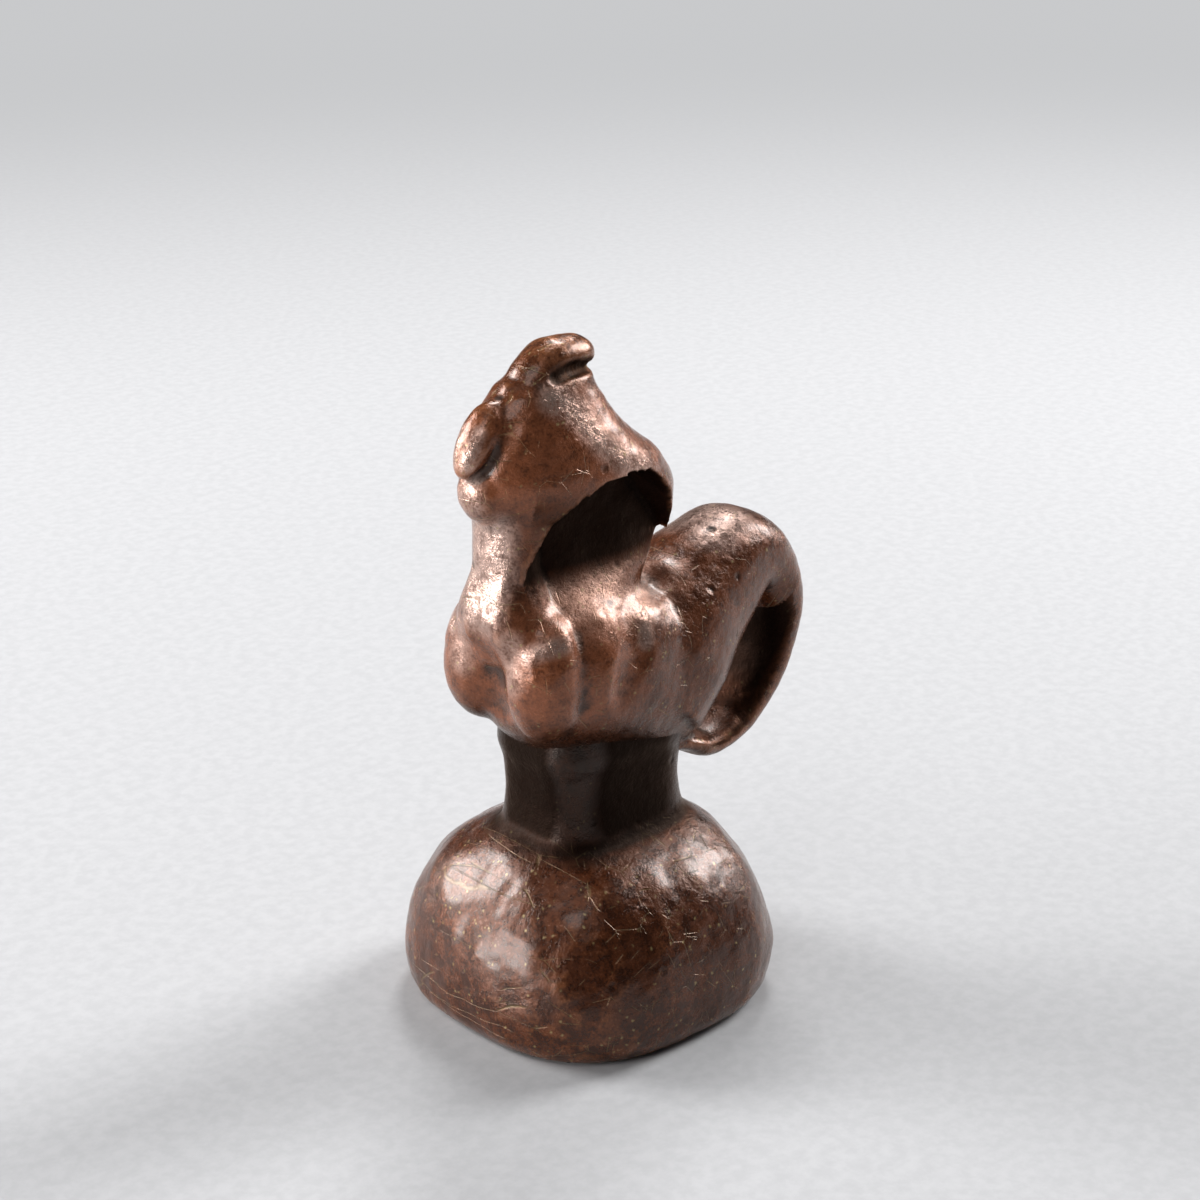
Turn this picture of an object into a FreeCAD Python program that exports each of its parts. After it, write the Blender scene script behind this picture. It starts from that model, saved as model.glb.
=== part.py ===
"""Cast bronze market weight: a stylised bird on a waisted pillar and a domed, rounded square base.

Units are millimetres. The bird looks along -X, +Z is up and Y = 0 is the plane of symmetry. The origin is
the middle of the flat underside. Every element of the wax model is a solid of its own that seats on its
neighbours.
"""
import FreeCAD, Part
import os
import re
import Sketcher
from FreeCAD import Vector

# Driving dimensions, one spreadsheet cell each, in millimetres and degrees.
SIZES = {
    # Base: a dome on a rounded foot.
    "base_height": 12.93,
    "base_foot_half": 10.71,
    "base_belly_half": 11.97,
    "base_belly_height": 2.9,
    "base_corner_share": 0.77,
    "base_shoulder": 0.29,
    # Lead plug in the underside, with which the weight was trued.
    "plug_radius": 2.51,
    "plug_depth": 3.38,
    # Pillar: a waisted rounded block.
    "pillar_height": 6.47,
    "pillar_lip": 0.86,
    "pillar_top_slope": 16,
    "pillar_waist_half_x": 5.84,
    "pillar_waist_half_y": 4.29,
    "pillar_corner_radius": 2.51,
    "pillar_root_flare": 0.63,
    "pillar_top_flare": 0.58,
    "pillar_shift": 0.39,
    # Body: a plump boat, blunt at the breast and narrow at the rump.
    "body_rump_drop": 2.9,
    "body_breast_x": -8.4,
    "body_beam_x": -3.28,
    "body_rump_x": 7.33,
    "body_beam_half": 6.22,
    "body_half_height": 6.27,
    "body_rump_half": 4.34,
    "body_rump_half_height": 4.87,
    "body_corner_share": 0.74,
    # Breast lobes and wing lobes, a pair of each. A height share is a share of the body's height.
    "breast_lobe_shift": 1.55,
    "breast_lobe_inset": 2.94,
    "breast_lobe_rise": 0.77,
    "breast_lobe_length": 5.21,
    "breast_lobe_width": 5.21,
    "breast_lobe_height_share": 0.77,
    "wing_lobe_shift": 0.39,
    "wing_lobe_inset": 2.45,
    "wing_lobe_rise": 0.29,
    "wing_lobe_length": 5.98,
    "wing_lobe_width": 6.56,
    "wing_lobe_height_share": 0.76,
    # Neck: a long oval that spreads into the back. Its root share is a share of the body's half height.
    "neck_root_share": 0.46,
    "neck_top_rise": 1.35,
    "neck_tenon_rise": 0.96,
    "neck_tenon_share": 0.7,
    "neck_root_x": -2.8,
    "neck_top_x": -1.83,
    "neck_root_half_length": 5.89,
    "neck_top_half_length": 7.04,
    "neck_half_width": 2.12,
    "neck_root_inset": 0.63,
    # Hood: outline of the head at six levels, front and rear edge and half width. A share is of its height.
    "hood_rim_rise": 8.3,
    "hood_height": 11.67,
    "hood_rim_front": -9.26,
    "hood_rim_rear": 5.98,
    "hood_rim_half": 4.25,
    "hood_cheek_share": 0.231,
    "hood_cheek_front": -9.46,
    "hood_cheek_rear": 6.27,
    "hood_cheek_half": 4.63,
    "hood_brow_share": 0.438,
    "hood_brow_front": -9.84,
    "hood_brow_rear": 4.34,
    "hood_brow_half": 4.63,
    "hood_crest_share": 0.644,
    "hood_crest_front": -9.65,
    "hood_crest_rear": 1.93,
    "hood_crest_half": 4.05,
    "hood_crown_share": 0.835,
    "hood_crown_front": -8.88,
    "hood_crown_rear": 0.58,
    "hood_crown_half": 3.09,
    "hood_top_front": -7.24,
    "hood_top_rear": -0.58,
    "hood_top_half": 2.12,
    # Arched lower edge of the hood's sides, which leaves the neck standing back under it.
    "arch_centre_x": -1.16,
    "arch_half_span": 6.85,
    "arch_rise": 5.5,
    # Topknot: a finger of wax laid over the crown, its tip clear of the hood.
    "knot_arc_x": -2.9,
    "knot_arc_drop": 1.54,
    "knot_arc_radius": 2.61,
    "knot_start_angle": 154,
    "knot_sweep": 112,
    "knot_half_thickness": 1.45,
    "knot_half_width": 1.93,
    # Bill: an upper and a lower lobe that point down the throat, each at a share of the hood's height.
    "upper_bill_x": -8.4,
    "upper_bill_share": 0.644,
    "upper_bill_length": 5.79,
    "upper_bill_width": 3.67,
    "upper_bill_thickness": 3.57,
    "upper_bill_slope": 68,
    "lower_bill_x": -8.88,
    "lower_bill_share": 0.356,
    "lower_bill_length": 4.44,
    "lower_bill_width": 3.28,
    "lower_bill_thickness": 3.47,
    "lower_bill_slope": 100,
    # Tail loop: a limb round a D-shaped eye with its straight side towards the bird.
    "eye_clearance": 0.39,
    "eye_drop": 4.82,
    "eye_chord": 10.81,
    "eye_depth": 3.86,
    "eye_slope": 49,
    "tail_root_thickness": 9.65,
    "tail_haunch_thickness": 10.04,
    "tail_shoulder_thickness": 8.4,
    "tail_top_thickness": 5.31,
    "tail_back_thickness": 3.09,
    "tail_under_thickness": 1.93,
    "tail_root_half_width": 4.83,
    "tail_haunch_half_width": 4.63,
    "tail_shoulder_half_width": 3.86,
    "tail_top_half_width": 3.47,
    "tail_back_half_width": 2.9,
    "tail_under_half_width": 3.57,
}

# Heights that follow from the sizes: of the body's middle, the hood's rim and the hood's top.
BELLY_Z = "(base_height + pillar_height)"
BODY_Z = "(base_height + pillar_height + body_half_height)"
RIM_Z = "(base_height + pillar_height + body_half_height + hood_rim_rise)"
TOP_Z = "(base_height + pillar_height + body_half_height + hood_rim_rise + hood_height)"

# Angles at which the foot's edge is drawn, and heights at which the dome is, as shares of their rise.
FOOT_ANGLES = (0, 30, 60, 90)
DOME_SHARES = (0.27, 0.54, 0.77, 0.92, 1.0)
DOME_FULLNESS = 0.9

# Places along the pillar, the breast, the rump and the neck where a section is drawn.
PILLAR_SHARES = (0, 0.1, 0.25, 0.5, 0.75, 1)
FLARE_POWER = 4
BREAST_ANGLES = (2, 12, 28, 48, 68, 90)
BREAST_FULLNESS = 0.62
RUMP_SHARES = (0.35, 0.7, 1)
RUMP_POWER = 3
NECK_SHARES = (0, 0.25, 0.5, 0.75, 1)

HOOD_LEVELS = ("rim", "cheek", "brow", "crest", "crown", "top")

# Sections of the topknot: share of its sweep, and share of its full thickness.
KNOT_SECTIONS = ((0, 1), (0.3, 0.95), (0.6, 0.82), (0.85, 0.62), (1, 0.2))

# Sections of the tail limb along the eye's straight side, then round its bow from the upper corner.
LIMB_SECTIONS = ((0.04, "root"), (0.42, "haunch"), (0.8, "shoulder"))
CORNER_LIFT = 45
BOW_EASE = 0.35
BOW_ANGLES = (0, 30, 60, 90, 120, 150, 180)
BACK_ANGLE = 60


def expr(text):
    """Return an expression in which every named size points at its spreadsheet cell."""
    def point(word):
        return "Sizes." + word.group() if word.group() in SIZES else word.group()
    return re.sub(r"[a-z_]+", point, text)


def add_sheet(doc):
    """Write the driving dimensions into the document's spreadsheet."""
    sheet = doc.addObject("Spreadsheet::Sheet", "Sizes")
    for row, (name, value) in enumerate(SIZES.items(), start=1):
        sheet.set("A%d" % row, name)
        sheet.set("B%d" % row, str(value))
        sheet.setAlias("B%d" % row, name)
    doc.recompute()


def between(start, end, share):
    """Expression for the value a share of the way from one expression to another."""
    return "((%s) + ((%s) - (%s)) * (%s))" % (start, end, start, share)


def add_ring(doc, name, major, minor, place, turn="0; 0; 0"):
    """Add an ellipse whose radii and placement follow the sizes, and return it."""
    ring = doc.addObject("Part::Ellipse", name)
    ring.setExpression("MajorRadius", expr(major))
    ring.setExpression("MinorRadius", expr(minor))
    placement = "placement(vector(%s; 0; %s); rotation(%s))" % (place[0], place[1], turn)
    ring.setExpression("Placement", expr(placement))
    return ring


def add_loft(doc, name, rings):
    """Add a smooth solid through a row of rings."""
    loft = doc.addObject("Part::Loft", name)
    loft.Sections = rings
    loft.Solid = True
    loft.Ruled = False
    return loft


def add_cut(doc, name, blank, *tools):
    """Take the neighbours' solids off a blank, so that it seats on them face to face."""
    result = blank
    for number, tool in enumerate(tools, start=1):
        cut = doc.addObject("Part::Cut", "%s_fit_%d" % (name, number))
        cut.Base = result
        cut.Tool = tool
        result = cut
    return result


def origin_plane(body, role):
    """Find one of a body's own origin planes."""
    return next(item for item in body.Origin.OriginFeatures if item.Role == role)


def add_rounded_rectangle(body, name, half_x, half_y, corner, offset, plane="XY_Plane"):
    """Sketch a rounded rectangle on an origin plane, moved by an offset in the sketch's own axes."""
    sketch = body.newObject("Sketcher::SketchObject", name)
    sketch.AttachmentSupport = (origin_plane(body, plane), "")
    sketch.MapMode = "FlatFace"
    for axis, distance in zip("xyz", offset):
        sketch.setExpression("AttachmentOffset.Base." + axis, expr(distance))
    x, y, r = 6.0, 5.0, 2.0
    right, up, out = Vector(x, 0, 0), Vector(0, y, 0), Vector(0, 0, 1)
    arc_right, arc_up = Vector(x - r, 0, 0), Vector(0, y - r, 0)
    corners = (arc_right - arc_up, arc_right + arc_up, arc_up - arc_right, Vector() - arc_right - arc_up)
    sides = (
        (Vector() - arc_right - up, arc_right - up),
        (right - arc_up, right + arc_up),
        (arc_right + up, up - arc_right),
        (arc_up - right, Vector() - right - arc_up),
    )
    quarter = 1.5707963267948966
    for number in range(4):
        sketch.addGeometry(Part.LineSegment(*sides[number]), False)
        circle = Part.Circle(corners[number], out, r)
        sketch.addGeometry(Part.ArcOfCircle(circle, (number - 1) * quarter, number * quarter), False)
    for number in range(4):
        line, arc = 2 * number, 2 * number + 1
        sketch.addConstraint(Sketcher.Constraint("Tangent", line, 2, arc, 1))
        sketch.addConstraint(Sketcher.Constraint("Tangent", arc, 2, (line + 2) % 8, 1))
    for line, direction in ((0, "Horizontal"), (2, "Vertical"), (4, "Horizontal"), (6, "Vertical")):
        sketch.addConstraint(Sketcher.Constraint(direction, line))
    for arc in (3, 5, 7):
        sketch.addConstraint(Sketcher.Constraint("Equal", 1, arc))
    sketch.addConstraint(Sketcher.Constraint("Symmetric", 1, 3, 5, 3, -1, 1))
    for kind, first, second, label, size in (
        ("DistanceX", (6, 1), (2, 1), "wide", "2 * (%s)" % half_x),
        ("DistanceY", (0, 1), (4, 1), "deep", "2 * (%s)" % half_y),
    ):
        index = sketch.addConstraint(Sketcher.Constraint(kind, *first, *second, 10.0))
        sketch.renameConstraint(index, label)
        sketch.setExpression("Constraints." + label, expr(size))
    index = sketch.addConstraint(Sketcher.Constraint("Radius", 1, r))
    sketch.renameConstraint(index, "corner")
    sketch.setExpression("Constraints.corner", expr(corner))
    return sketch


def add_section_loft(body, name, sketches):
    """Add the loft through a body's sketches."""
    loft = body.newObject("PartDesign::AdditiveLoft", name)
    loft.Profile = sketches[0]
    loft.Sections = sketches[1:]
    loft.Ruled = False
    loft.Closed = False
    return loft


def add_circle_sketch(body, name, radius):
    """Sketch a circle round the Z axis on the underside."""
    sketch = body.newObject("Sketcher::SketchObject", name)
    sketch.AttachmentSupport = (origin_plane(body, "XY_Plane"), "")
    sketch.MapMode = "FlatFace"
    sketch.addGeometry(Part.Circle(Vector(), Vector(0, 0, 1), 1), False)
    sketch.addConstraint(Sketcher.Constraint("Coincident", 0, 3, -1, 1))
    index = sketch.addConstraint(Sketcher.Constraint("Radius", 0, 1.0))
    sketch.renameConstraint(index, "radius")
    sketch.setExpression("Constraints.radius", expr(radius))
    return sketch


def make_base(doc):
    """Rounded square dome on a rounded foot, with the plug's pocket in its underside."""
    body = doc.addObject("PartDesign::Body", "base")
    levels = []
    for angle in FOOT_ANGLES:
        half = between("base_foot_half", "base_belly_half", "sin(%s)" % angle)
        levels.append((half, half, "base_belly_height * (1 - cos(%s))" % angle, "0"))
    for share in DOME_SHARES:
        fall = "1 - (1 - %s ^ 2) ^ %s" % (share, DOME_FULLNESS)
        half_x = between("base_belly_half", "pillar_waist_half_x + pillar_root_flare + base_shoulder", fall)
        half_y = between("base_belly_half", "pillar_waist_half_y + pillar_root_flare + base_shoulder", fall)
        height = between("base_belly_height", "base_height", share)
        levels.append((half_x, half_y, height, "pillar_shift * %s" % share))
    sketches = []
    for number, (half_x, half_y, height, shift) in enumerate(levels, start=1):
        corner = "base_corner_share * %s" % half_y
        offset = (shift, "0", height)
        sketches.append(add_rounded_rectangle(body, "base_level_%d" % number, half_x, half_y, corner, offset))
    add_section_loft(body, "base_dome", sketches)
    doc.recompute()
    solid_volume = body.Shape.Volume
    pocket = body.newObject("PartDesign::Pocket", "plug_pocket")
    pocket.Profile = add_circle_sketch(body, "plug_pocket_outline", "plug_radius")
    pocket.setExpression("Length", expr("plug_depth"))
    pocket.Reversed = True
    body.Tip = pocket
    doc.recompute()
    if body.Shape.Volume >= solid_volume:
        raise RuntimeError("the plug's pocket cuts nothing")
    return body


def make_adjusting_plug(doc):
    """Lead plug that fills the pocket in the base, flush with the underside."""
    body = doc.addObject("PartDesign::Body", "adjusting_plug")
    pad = body.newObject("PartDesign::Pad", "plug_fill")
    pad.Profile = add_circle_sketch(body, "plug_outline", "plug_radius")
    pad.setExpression("Length", expr("plug_depth"))
    return body


def make_pillar_blank(doc):
    """Waisted rounded block that flares into the base below and into the body above."""
    body = doc.addObject("PartDesign::Body", "pillar_blank")
    sketches = []
    for number, share in enumerate(PILLAR_SHARES, start=1):
        flare = "pillar_root_flare * (1 - %s) ^ %s + pillar_top_flare * %s ^ %s"
        flare %= (share, FLARE_POWER, share, FLARE_POWER)
        half_x = "pillar_waist_half_x + " + flare
        half_y = "pillar_waist_half_y + " + flare
        height = "base_height + (pillar_height + pillar_lip + pillar_top_flare) * %s" % share
        name = "pillar_level_%d" % number
        offset = ("pillar_shift", "0", height)
        sketches.append(add_rounded_rectangle(body, name, half_x, half_y, "pillar_corner_radius", offset))
    add_section_loft(body, "pillar_shaft", sketches)
    return body


def make_pillar_trim(doc):
    """Block above the pillar's sloping top, which falls towards the tail as the bird does."""
    trim = doc.addObject("Part::Box", "pillar_trim")
    reach = "2 * (pillar_waist_half_x + pillar_root_flare)"
    for side, size in (("Length", reach), ("Width", reach), ("Height", "pillar_height")):
        trim.setExpression(side, expr(size))
    corner = "pillar_shift - pillar_waist_half_x; 0 - %s / 2; %s + pillar_lip" % (reach, BELLY_Z)
    place = "placement(vector(%s); rotation(0; pillar_top_slope; 0))" % corner
    trim.setExpression("Placement", expr(place))
    return trim


def make_body_blank(doc):
    """Plump body: upright rounded sections from the blunt breast to the narrow rump, lofted."""
    body = doc.addObject("PartDesign::Body", "body_blank")
    sections = []
    for angle in BREAST_ANGLES:
        swell = "sin(%s) ^ %s" % (angle, BREAST_FULLNESS)
        x = between("body_beam_x", "body_breast_x", "cos(%s)" % angle)
        sections.append((x, "body_beam_half * " + swell, "body_half_height * " + swell, BODY_Z))
    for share in RUMP_SHARES:
        fall = "%s ^ %s" % (share, RUMP_POWER)
        wide = between("body_beam_half", "body_rump_half", fall)
        tall = between("body_half_height", "body_rump_half_height", fall)
        centre = "%s - body_rump_drop * %s" % (BODY_Z, fall)
        sections.append((between("body_beam_x", "body_rump_x", share), wide, tall, centre))
    sketches = []
    for number, (x, wide, tall, centre) in enumerate(sections, start=1):
        corner = "body_corner_share * %s" % wide
        name = "body_section_%d" % number
        sketches.append(add_rounded_rectangle(body, name, wide, tall, corner, ("0", centre, x), "YZ_Plane"))
    add_section_loft(body, "body_hull", sketches)
    return body


def make_neck_blank(doc):
    """Long oval neck that spreads as it runs down into the back."""
    rings = []
    root_z, top_z = BODY_Z + " + neck_root_share * body_half_height", RIM_Z + " + neck_top_rise"
    for number, share in enumerate(NECK_SHARES, start=1):
        settled = "1 - (1 - %s) ^ 2" % share
        long_half = between("neck_root_half_length", "neck_top_half_length", share)
        wide_half = between("body_beam_half - neck_root_inset", "neck_half_width", settled)
        x = between("neck_root_x", "neck_top_x", settled)
        place = (x, between(root_z, top_z, share))
        rings.append(add_ring(doc, "neck_ring_%d" % number, long_half, wide_half, place))
    tenon_long = "neck_top_half_length * neck_tenon_share"
    tenon_wide = "neck_half_width * neck_tenon_share"
    tenon_z = RIM_Z + " + arch_rise + neck_tenon_rise"
    tenon_place = ("(hood_crest_front + hood_crest_rear) / 2", tenon_z)
    rings.append(add_ring(doc, "neck_tenon_ring", tenon_long, tenon_wide, tenon_place))
    return add_loft(doc, "neck_blank", rings)


def make_hood_blank(doc):
    """Head as a hood: ovals stacked from the rim up to the crown."""
    rings = []
    for level in HOOD_LEVELS:
        size = "hood_" + level
        height = {"rim": RIM_Z, "top": TOP_Z}.get(level, "%s + hood_height * %s_share" % (RIM_Z, size))
        place = ("(%s_front + %s_rear) / 2" % (size, size), height)
        long_half = "(%s_rear - %s_front) / 2" % (size, size)
        rings.append(add_ring(doc, size + "_ring", long_half, size + "_half", place))
    return add_loft(doc, "hood_blank", rings)


def make_hood_arch(doc):
    """Arched scoop across the hood, whose upper edge is the arch of the hood's sides."""
    half_reach = "2 * hood_cheek_half"
    outline = doc.addObject("Part::Ellipse", "arch_outline")
    outline.setExpression("MajorRadius", expr("arch_half_span"))
    outline.setExpression("MinorRadius", expr("arch_rise"))
    place = "placement(vector(arch_centre_x; %s; %s); rotation(0; 0; 90))" % (half_reach, RIM_Z)
    outline.setExpression("Placement", expr(place))
    scoop = doc.addObject("Part::Extrusion", "arch_scoop")
    scoop.Base = outline
    scoop.DirMode = "Custom"
    scoop.Dir = Vector(0, -1, 0)
    scoop.setExpression("LengthFwd", expr("2 * %s" % half_reach))
    scoop.Solid = True
    return scoop


def make_topknot_blank(doc):
    """Finger of wax bent over the crown, thick at the forehead and tapering to the tip."""
    rings = []
    for number, (share, thickness) in enumerate(KNOT_SECTIONS, start=1):
        angle = "(knot_start_angle - knot_sweep * %s)" % share
        place = ("knot_arc_x + knot_arc_radius * cos(%s)" % angle,
                 "%s - knot_arc_drop + knot_arc_radius * sin(%s)" % (TOP_Z, angle))
        wide = "knot_half_width * %s" % thickness
        thick = "knot_half_thickness * %s" % thickness
        rings.append(add_ring(doc, "knot_ring_%d" % number, wide, thick, place, "90; 0; 180 - " + angle))
    return add_loft(doc, "topknot_blank", rings)


def add_lobe(doc, name, lobe, place, turn, upright):
    """Add an ellipsoid from the sizes named after a lobe and its upright size, as a blank."""
    blank = doc.addObject("Part::Ellipsoid", name)
    blank.setExpression("Radius1", expr("(%s) / 2" % upright))
    blank.setExpression("Radius2", expr("%s_length / 2" % lobe))
    blank.setExpression("Radius3", expr("%s_width / 2" % lobe))
    blank.Angle1 = -90
    blank.setExpression("Placement", expr("placement(vector(%s; %s; %s); rotation(%s))" % (*place, turn)))
    return blank


def make_bill_blank(doc, lobe):
    """Upper or lower lobe of the bill, tipped down the throat on the plane of symmetry."""
    place = (lobe + "_x", "0", "%s + hood_height * %s_share" % (RIM_Z, lobe))
    return add_lobe(doc, lobe + "_blank", lobe, place, "0; 0 - %s_slope; 0" % lobe, lobe + "_thickness")


def make_side_lobe_blank(doc, lobe, side, sign, reference_x):
    """Lobe of one side, set in from the beam."""
    x = "%s + %s_shift" % (reference_x, lobe)
    y = "%s * (body_beam_half - %s_inset)" % (sign, lobe)
    place = (x, y, "%s + %s_rise" % (BODY_Z, lobe))
    upright = "2 * body_half_height * %s_height_share" % lobe
    return add_lobe(doc, "%s_%s_blank" % (side, lobe), lobe, place, "0; 0; 0", upright)


def eye_point(share, drop="0"):
    """Point on the eye's straight side, a share of the way up it, or off it by a drop towards the bow."""
    along = "(eye_chord * %s)" % share
    low_z = BODY_Z + " - body_rump_drop - eye_drop"
    x = "(body_rump_x + eye_clearance + %s * cos(eye_slope) + (%s) * sin(eye_slope))" % (along, drop)
    z = "(%s + %s * sin(eye_slope) - (%s) * cos(eye_slope))" % (low_z, along, drop)
    return x, z


def add_tail_ring(doc, name, inner, angle, thick, wide):
    """Add a section of the tail: an oval, at least as wide as thick, out from a point at an angle to +X."""
    place = ("%s + %s / 2 * cos(%s)" % (inner[0], thick, angle),
             "%s + %s / 2 * sin(%s)" % (inner[1], thick, angle))
    widest = "max(%s; %s / 2)" % (wide, thick)
    return add_ring(doc, name, widest, thick + " / 2", place, "90; 0; 180 - " + angle)


def make_tail_loop(doc):
    """Tail: a limb that rises out of the rump, and a bow that returns under it, round the D-shaped eye."""
    rings = []
    for share, station in LIMB_SECTIONS:
        thick, wide = "tail_%s_thickness" % station, "tail_%s_half_width" % station
        rings.append(add_tail_ring(doc, station + "_ring", eye_point(share), "(eye_slope + 90)", thick, wide))
    corner_angle = "(eye_slope + %s)" % CORNER_LIFT
    top_section = ("tail_top_thickness", "tail_top_half_width")
    rings.append(add_tail_ring(doc, "corner_ring", eye_point(1), corner_angle, *top_section))
    for angle in BOW_ANGLES:
        inner = eye_point("(1 + cos(%s)) / 2" % angle, "eye_depth * sin(%s)" % angle)
        lean = "atan2(sin(%s) / eye_depth; cos(%s) * 2 / eye_chord) / 1 deg" % (angle, angle)
        if angle <= BACK_ANGLE:
            share = (angle / BACK_ANGLE) ** BOW_EASE
            thick = between("tail_top_thickness", "tail_back_thickness", share)
            wide = between("tail_top_half_width", "tail_back_half_width", share)
        else:
            share = (angle - BACK_ANGLE) / (BOW_ANGLES[-1] - BACK_ANGLE)
            thick = between("tail_back_thickness", "tail_under_thickness", share)
            wide = between("tail_back_half_width", "tail_under_half_width", share)
        name = "bow_ring_%d" % angle
        rings.append(add_tail_ring(doc, name, inner, "(eye_slope - %s)" % lean, thick, wide))
    return add_loft(doc, "tail_loop", rings)


def build_model(doc):
    """Build every sub-part and return them by node name."""
    body_blank = make_body_blank(doc)
    tail = make_tail_loop(doc)
    body = add_cut(doc, "body", body_blank, tail)
    pillar_trim = make_pillar_trim(doc)
    pillar = add_cut(doc, "pillar", make_pillar_blank(doc), pillar_trim, body_blank, tail)
    neck = add_cut(doc, "neck", make_neck_blank(doc), body_blank)
    hood = add_cut(doc, "hood", make_hood_blank(doc), make_hood_arch(doc), neck)
    topknot = add_cut(doc, "topknot", make_topknot_blank(doc), hood)
    upper_bill = add_cut(doc, "upper_bill", make_bill_blank(doc, "upper_bill"), hood, neck)
    lower_bill = add_cut(doc, "lower_bill", make_bill_blank(doc, "lower_bill"), hood, neck, upper_bill)
    parts = {
        "base": make_base(doc),
        "adjusting_plug": make_adjusting_plug(doc),
        "pillar": pillar,
        "body": body,
        "neck": neck,
        "hood": hood,
        "topknot": topknot,
        "upper_bill": upper_bill,
        "lower_bill": lower_bill,
        "tail_loop": tail,
    }
    for side, sign in (("left", "-1"), ("right", "1")):
        breast_blank = make_side_lobe_blank(doc, "breast_lobe", side, sign, "body_breast_x")
        breast = add_cut(doc, side + "_breast_lobe", breast_blank, body_blank, neck)
        wing_blank = make_side_lobe_blank(doc, "wing_lobe", side, sign, "body_beam_x")
        wing = add_cut(doc, side + "_wing_lobe", wing_blank, body_blank, neck, breast, tail)
        parts[side + "_breast_lobe"] = breast
        parts[side + "_wing_lobe"] = wing
    return parts


def check_model(doc, parts):
    """Stop on a failed object or on a sub-part that isn't one valid solid."""
    for item in doc.Objects:
        if "Invalid" in item.State or "Error" in item.State:
            raise RuntimeError("%s failed: %s" % (item.Name, item.State))
    for name, item in parts.items():
        shape = item.Shape
        if shape.isNull() or not shape.isValid() or shape.Volume <= 0:
            raise RuntimeError("%s has no valid shape" % name)
        print("%-18s solids %d volume %8.1f mm3" % (name, len(shape.Solids), shape.Volume))


def main():
    """Build the document, check it and write one STEP file for each sub-part."""
    os.makedirs("parts", exist_ok=True)
    doc = FreeCAD.newDocument("OpiumWeight")
    add_sheet(doc)
    parts = build_model(doc)
    doc.recompute()
    check_model(doc, parts)
    for name, item in parts.items():
        item.Label = name
        item.Shape.exportStep("parts/%s.step" % name)


main()
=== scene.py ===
"""Small cast bronze weight: a stylised bird on a waisted pillar and a domed base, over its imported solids.

Everything is worked out in the drawing's millimetres, with the bird looking along -X, and brought to metres
by CASTING_SCALE once, where a surface becomes a mesh.
"""
import logging
import math
from dataclasses import dataclass, field
from enum import Enum

import bpy
import numpy as np
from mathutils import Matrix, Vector


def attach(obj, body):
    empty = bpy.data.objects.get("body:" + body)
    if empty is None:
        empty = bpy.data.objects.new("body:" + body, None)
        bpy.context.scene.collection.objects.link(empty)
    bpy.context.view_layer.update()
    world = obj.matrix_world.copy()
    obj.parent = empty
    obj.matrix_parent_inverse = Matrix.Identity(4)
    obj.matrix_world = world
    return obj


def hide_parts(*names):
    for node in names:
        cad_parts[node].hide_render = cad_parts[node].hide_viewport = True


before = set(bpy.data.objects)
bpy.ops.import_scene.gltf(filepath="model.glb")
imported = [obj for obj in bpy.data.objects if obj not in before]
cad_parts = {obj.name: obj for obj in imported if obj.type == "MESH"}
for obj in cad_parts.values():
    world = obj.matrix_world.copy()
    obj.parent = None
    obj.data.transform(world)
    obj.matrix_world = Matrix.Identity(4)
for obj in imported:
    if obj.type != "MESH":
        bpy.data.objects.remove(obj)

LOG = logging.getLogger("bronze_weight")

CASTING_SCALE = 0.965 * 0.001   # metres of the casting for each millimetre of the 50 mm drawing
IMAGE_SIZE = 1200.0
# point attributes of the finish; four of them hold painted light: shade in the hollows, shade under the bird,
# highlights, and top light mixed with settled grit
WEAR_AND_PAINTED_LIGHT = ("relief", "dust_and_top_light", "rubbed", "painted_hollow_shade", "handled", "painted_under_shade", "painted_highlight")
RUB_STEPS = (0.55, -0.53)       # share of the way to the neighbours' mean, and back, in one round of rubbing
MELT_STEP = 0.6                 # share of the way in one round of melting

Colour = tuple[float, float, float, float]
Row = tuple[float, ...]


class Side(Enum):
    """Sides of the bird, with the sign of Y on each."""

    LEFT = -1.0
    RIGHT = 1.0


def link(obj: bpy.types.Object) -> None:
    """Put an object in the scene."""
    bpy.context.scene.collection.objects.link(obj)


# Numeric helpers


def monotone(stations: np.ndarray, values: np.ndarray, wanted: np.ndarray) -> np.ndarray:
    """Interpolate columns without overshoot, by cubic pieces whose slopes are limited at each station.

    Args:
        stations: Rising positions, one per row of values.
        values: Table with one row per station.
        wanted: Positions to read.

    Returns:
        One row per wanted position.
    """
    step = np.diff(stations)[:, None]
    rise = np.diff(values, axis=0) / step
    slope = np.zeros_like(values)
    slope[0], slope[-1] = rise[0], rise[-1]
    before, after = rise[:-1], rise[1:]
    same = before * after > 0
    safe = np.where(same, before + after, 1.0)
    slope[1:-1] = np.where(same, 2.0 * before * after / safe, 0.0)
    index = np.clip(np.searchsorted(stations, wanted, side="right") - 1, 0, len(stations) - 2)
    span = step[index]
    t = (wanted[:, None] - stations[index][:, None]) / span
    t2, t3 = t * t, t * t * t
    return ((2 * t3 - 3 * t2 + 1) * values[index] + (t3 - 2 * t2 + t) * span * slope[index]
            + (3 * t2 - 2 * t3) * values[index + 1] + (t3 - t2) * span * slope[index + 1])


def superellipse(power: np.ndarray, columns: int) -> tuple[np.ndarray, np.ndarray]:
    """Unit section |c|^n + |s|^n = 1, read at even angles.

    Args:
        power: Exponent n of each row: 2 is an oval and 4 is nearly a rounded block.
        columns: Points round the section.

    Returns:
        The two coordinates, each of shape rows by columns.
    """
    angle = np.linspace(0.0, 2.0 * np.pi, columns, endpoint=False)[None, :]
    cosine, sine = np.cos(angle), np.sin(angle)
    size = (np.abs(cosine) ** power[:, None] + np.abs(sine) ** power[:, None]) ** (-1.0 / power[:, None])
    return cosine * size, sine * size


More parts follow.
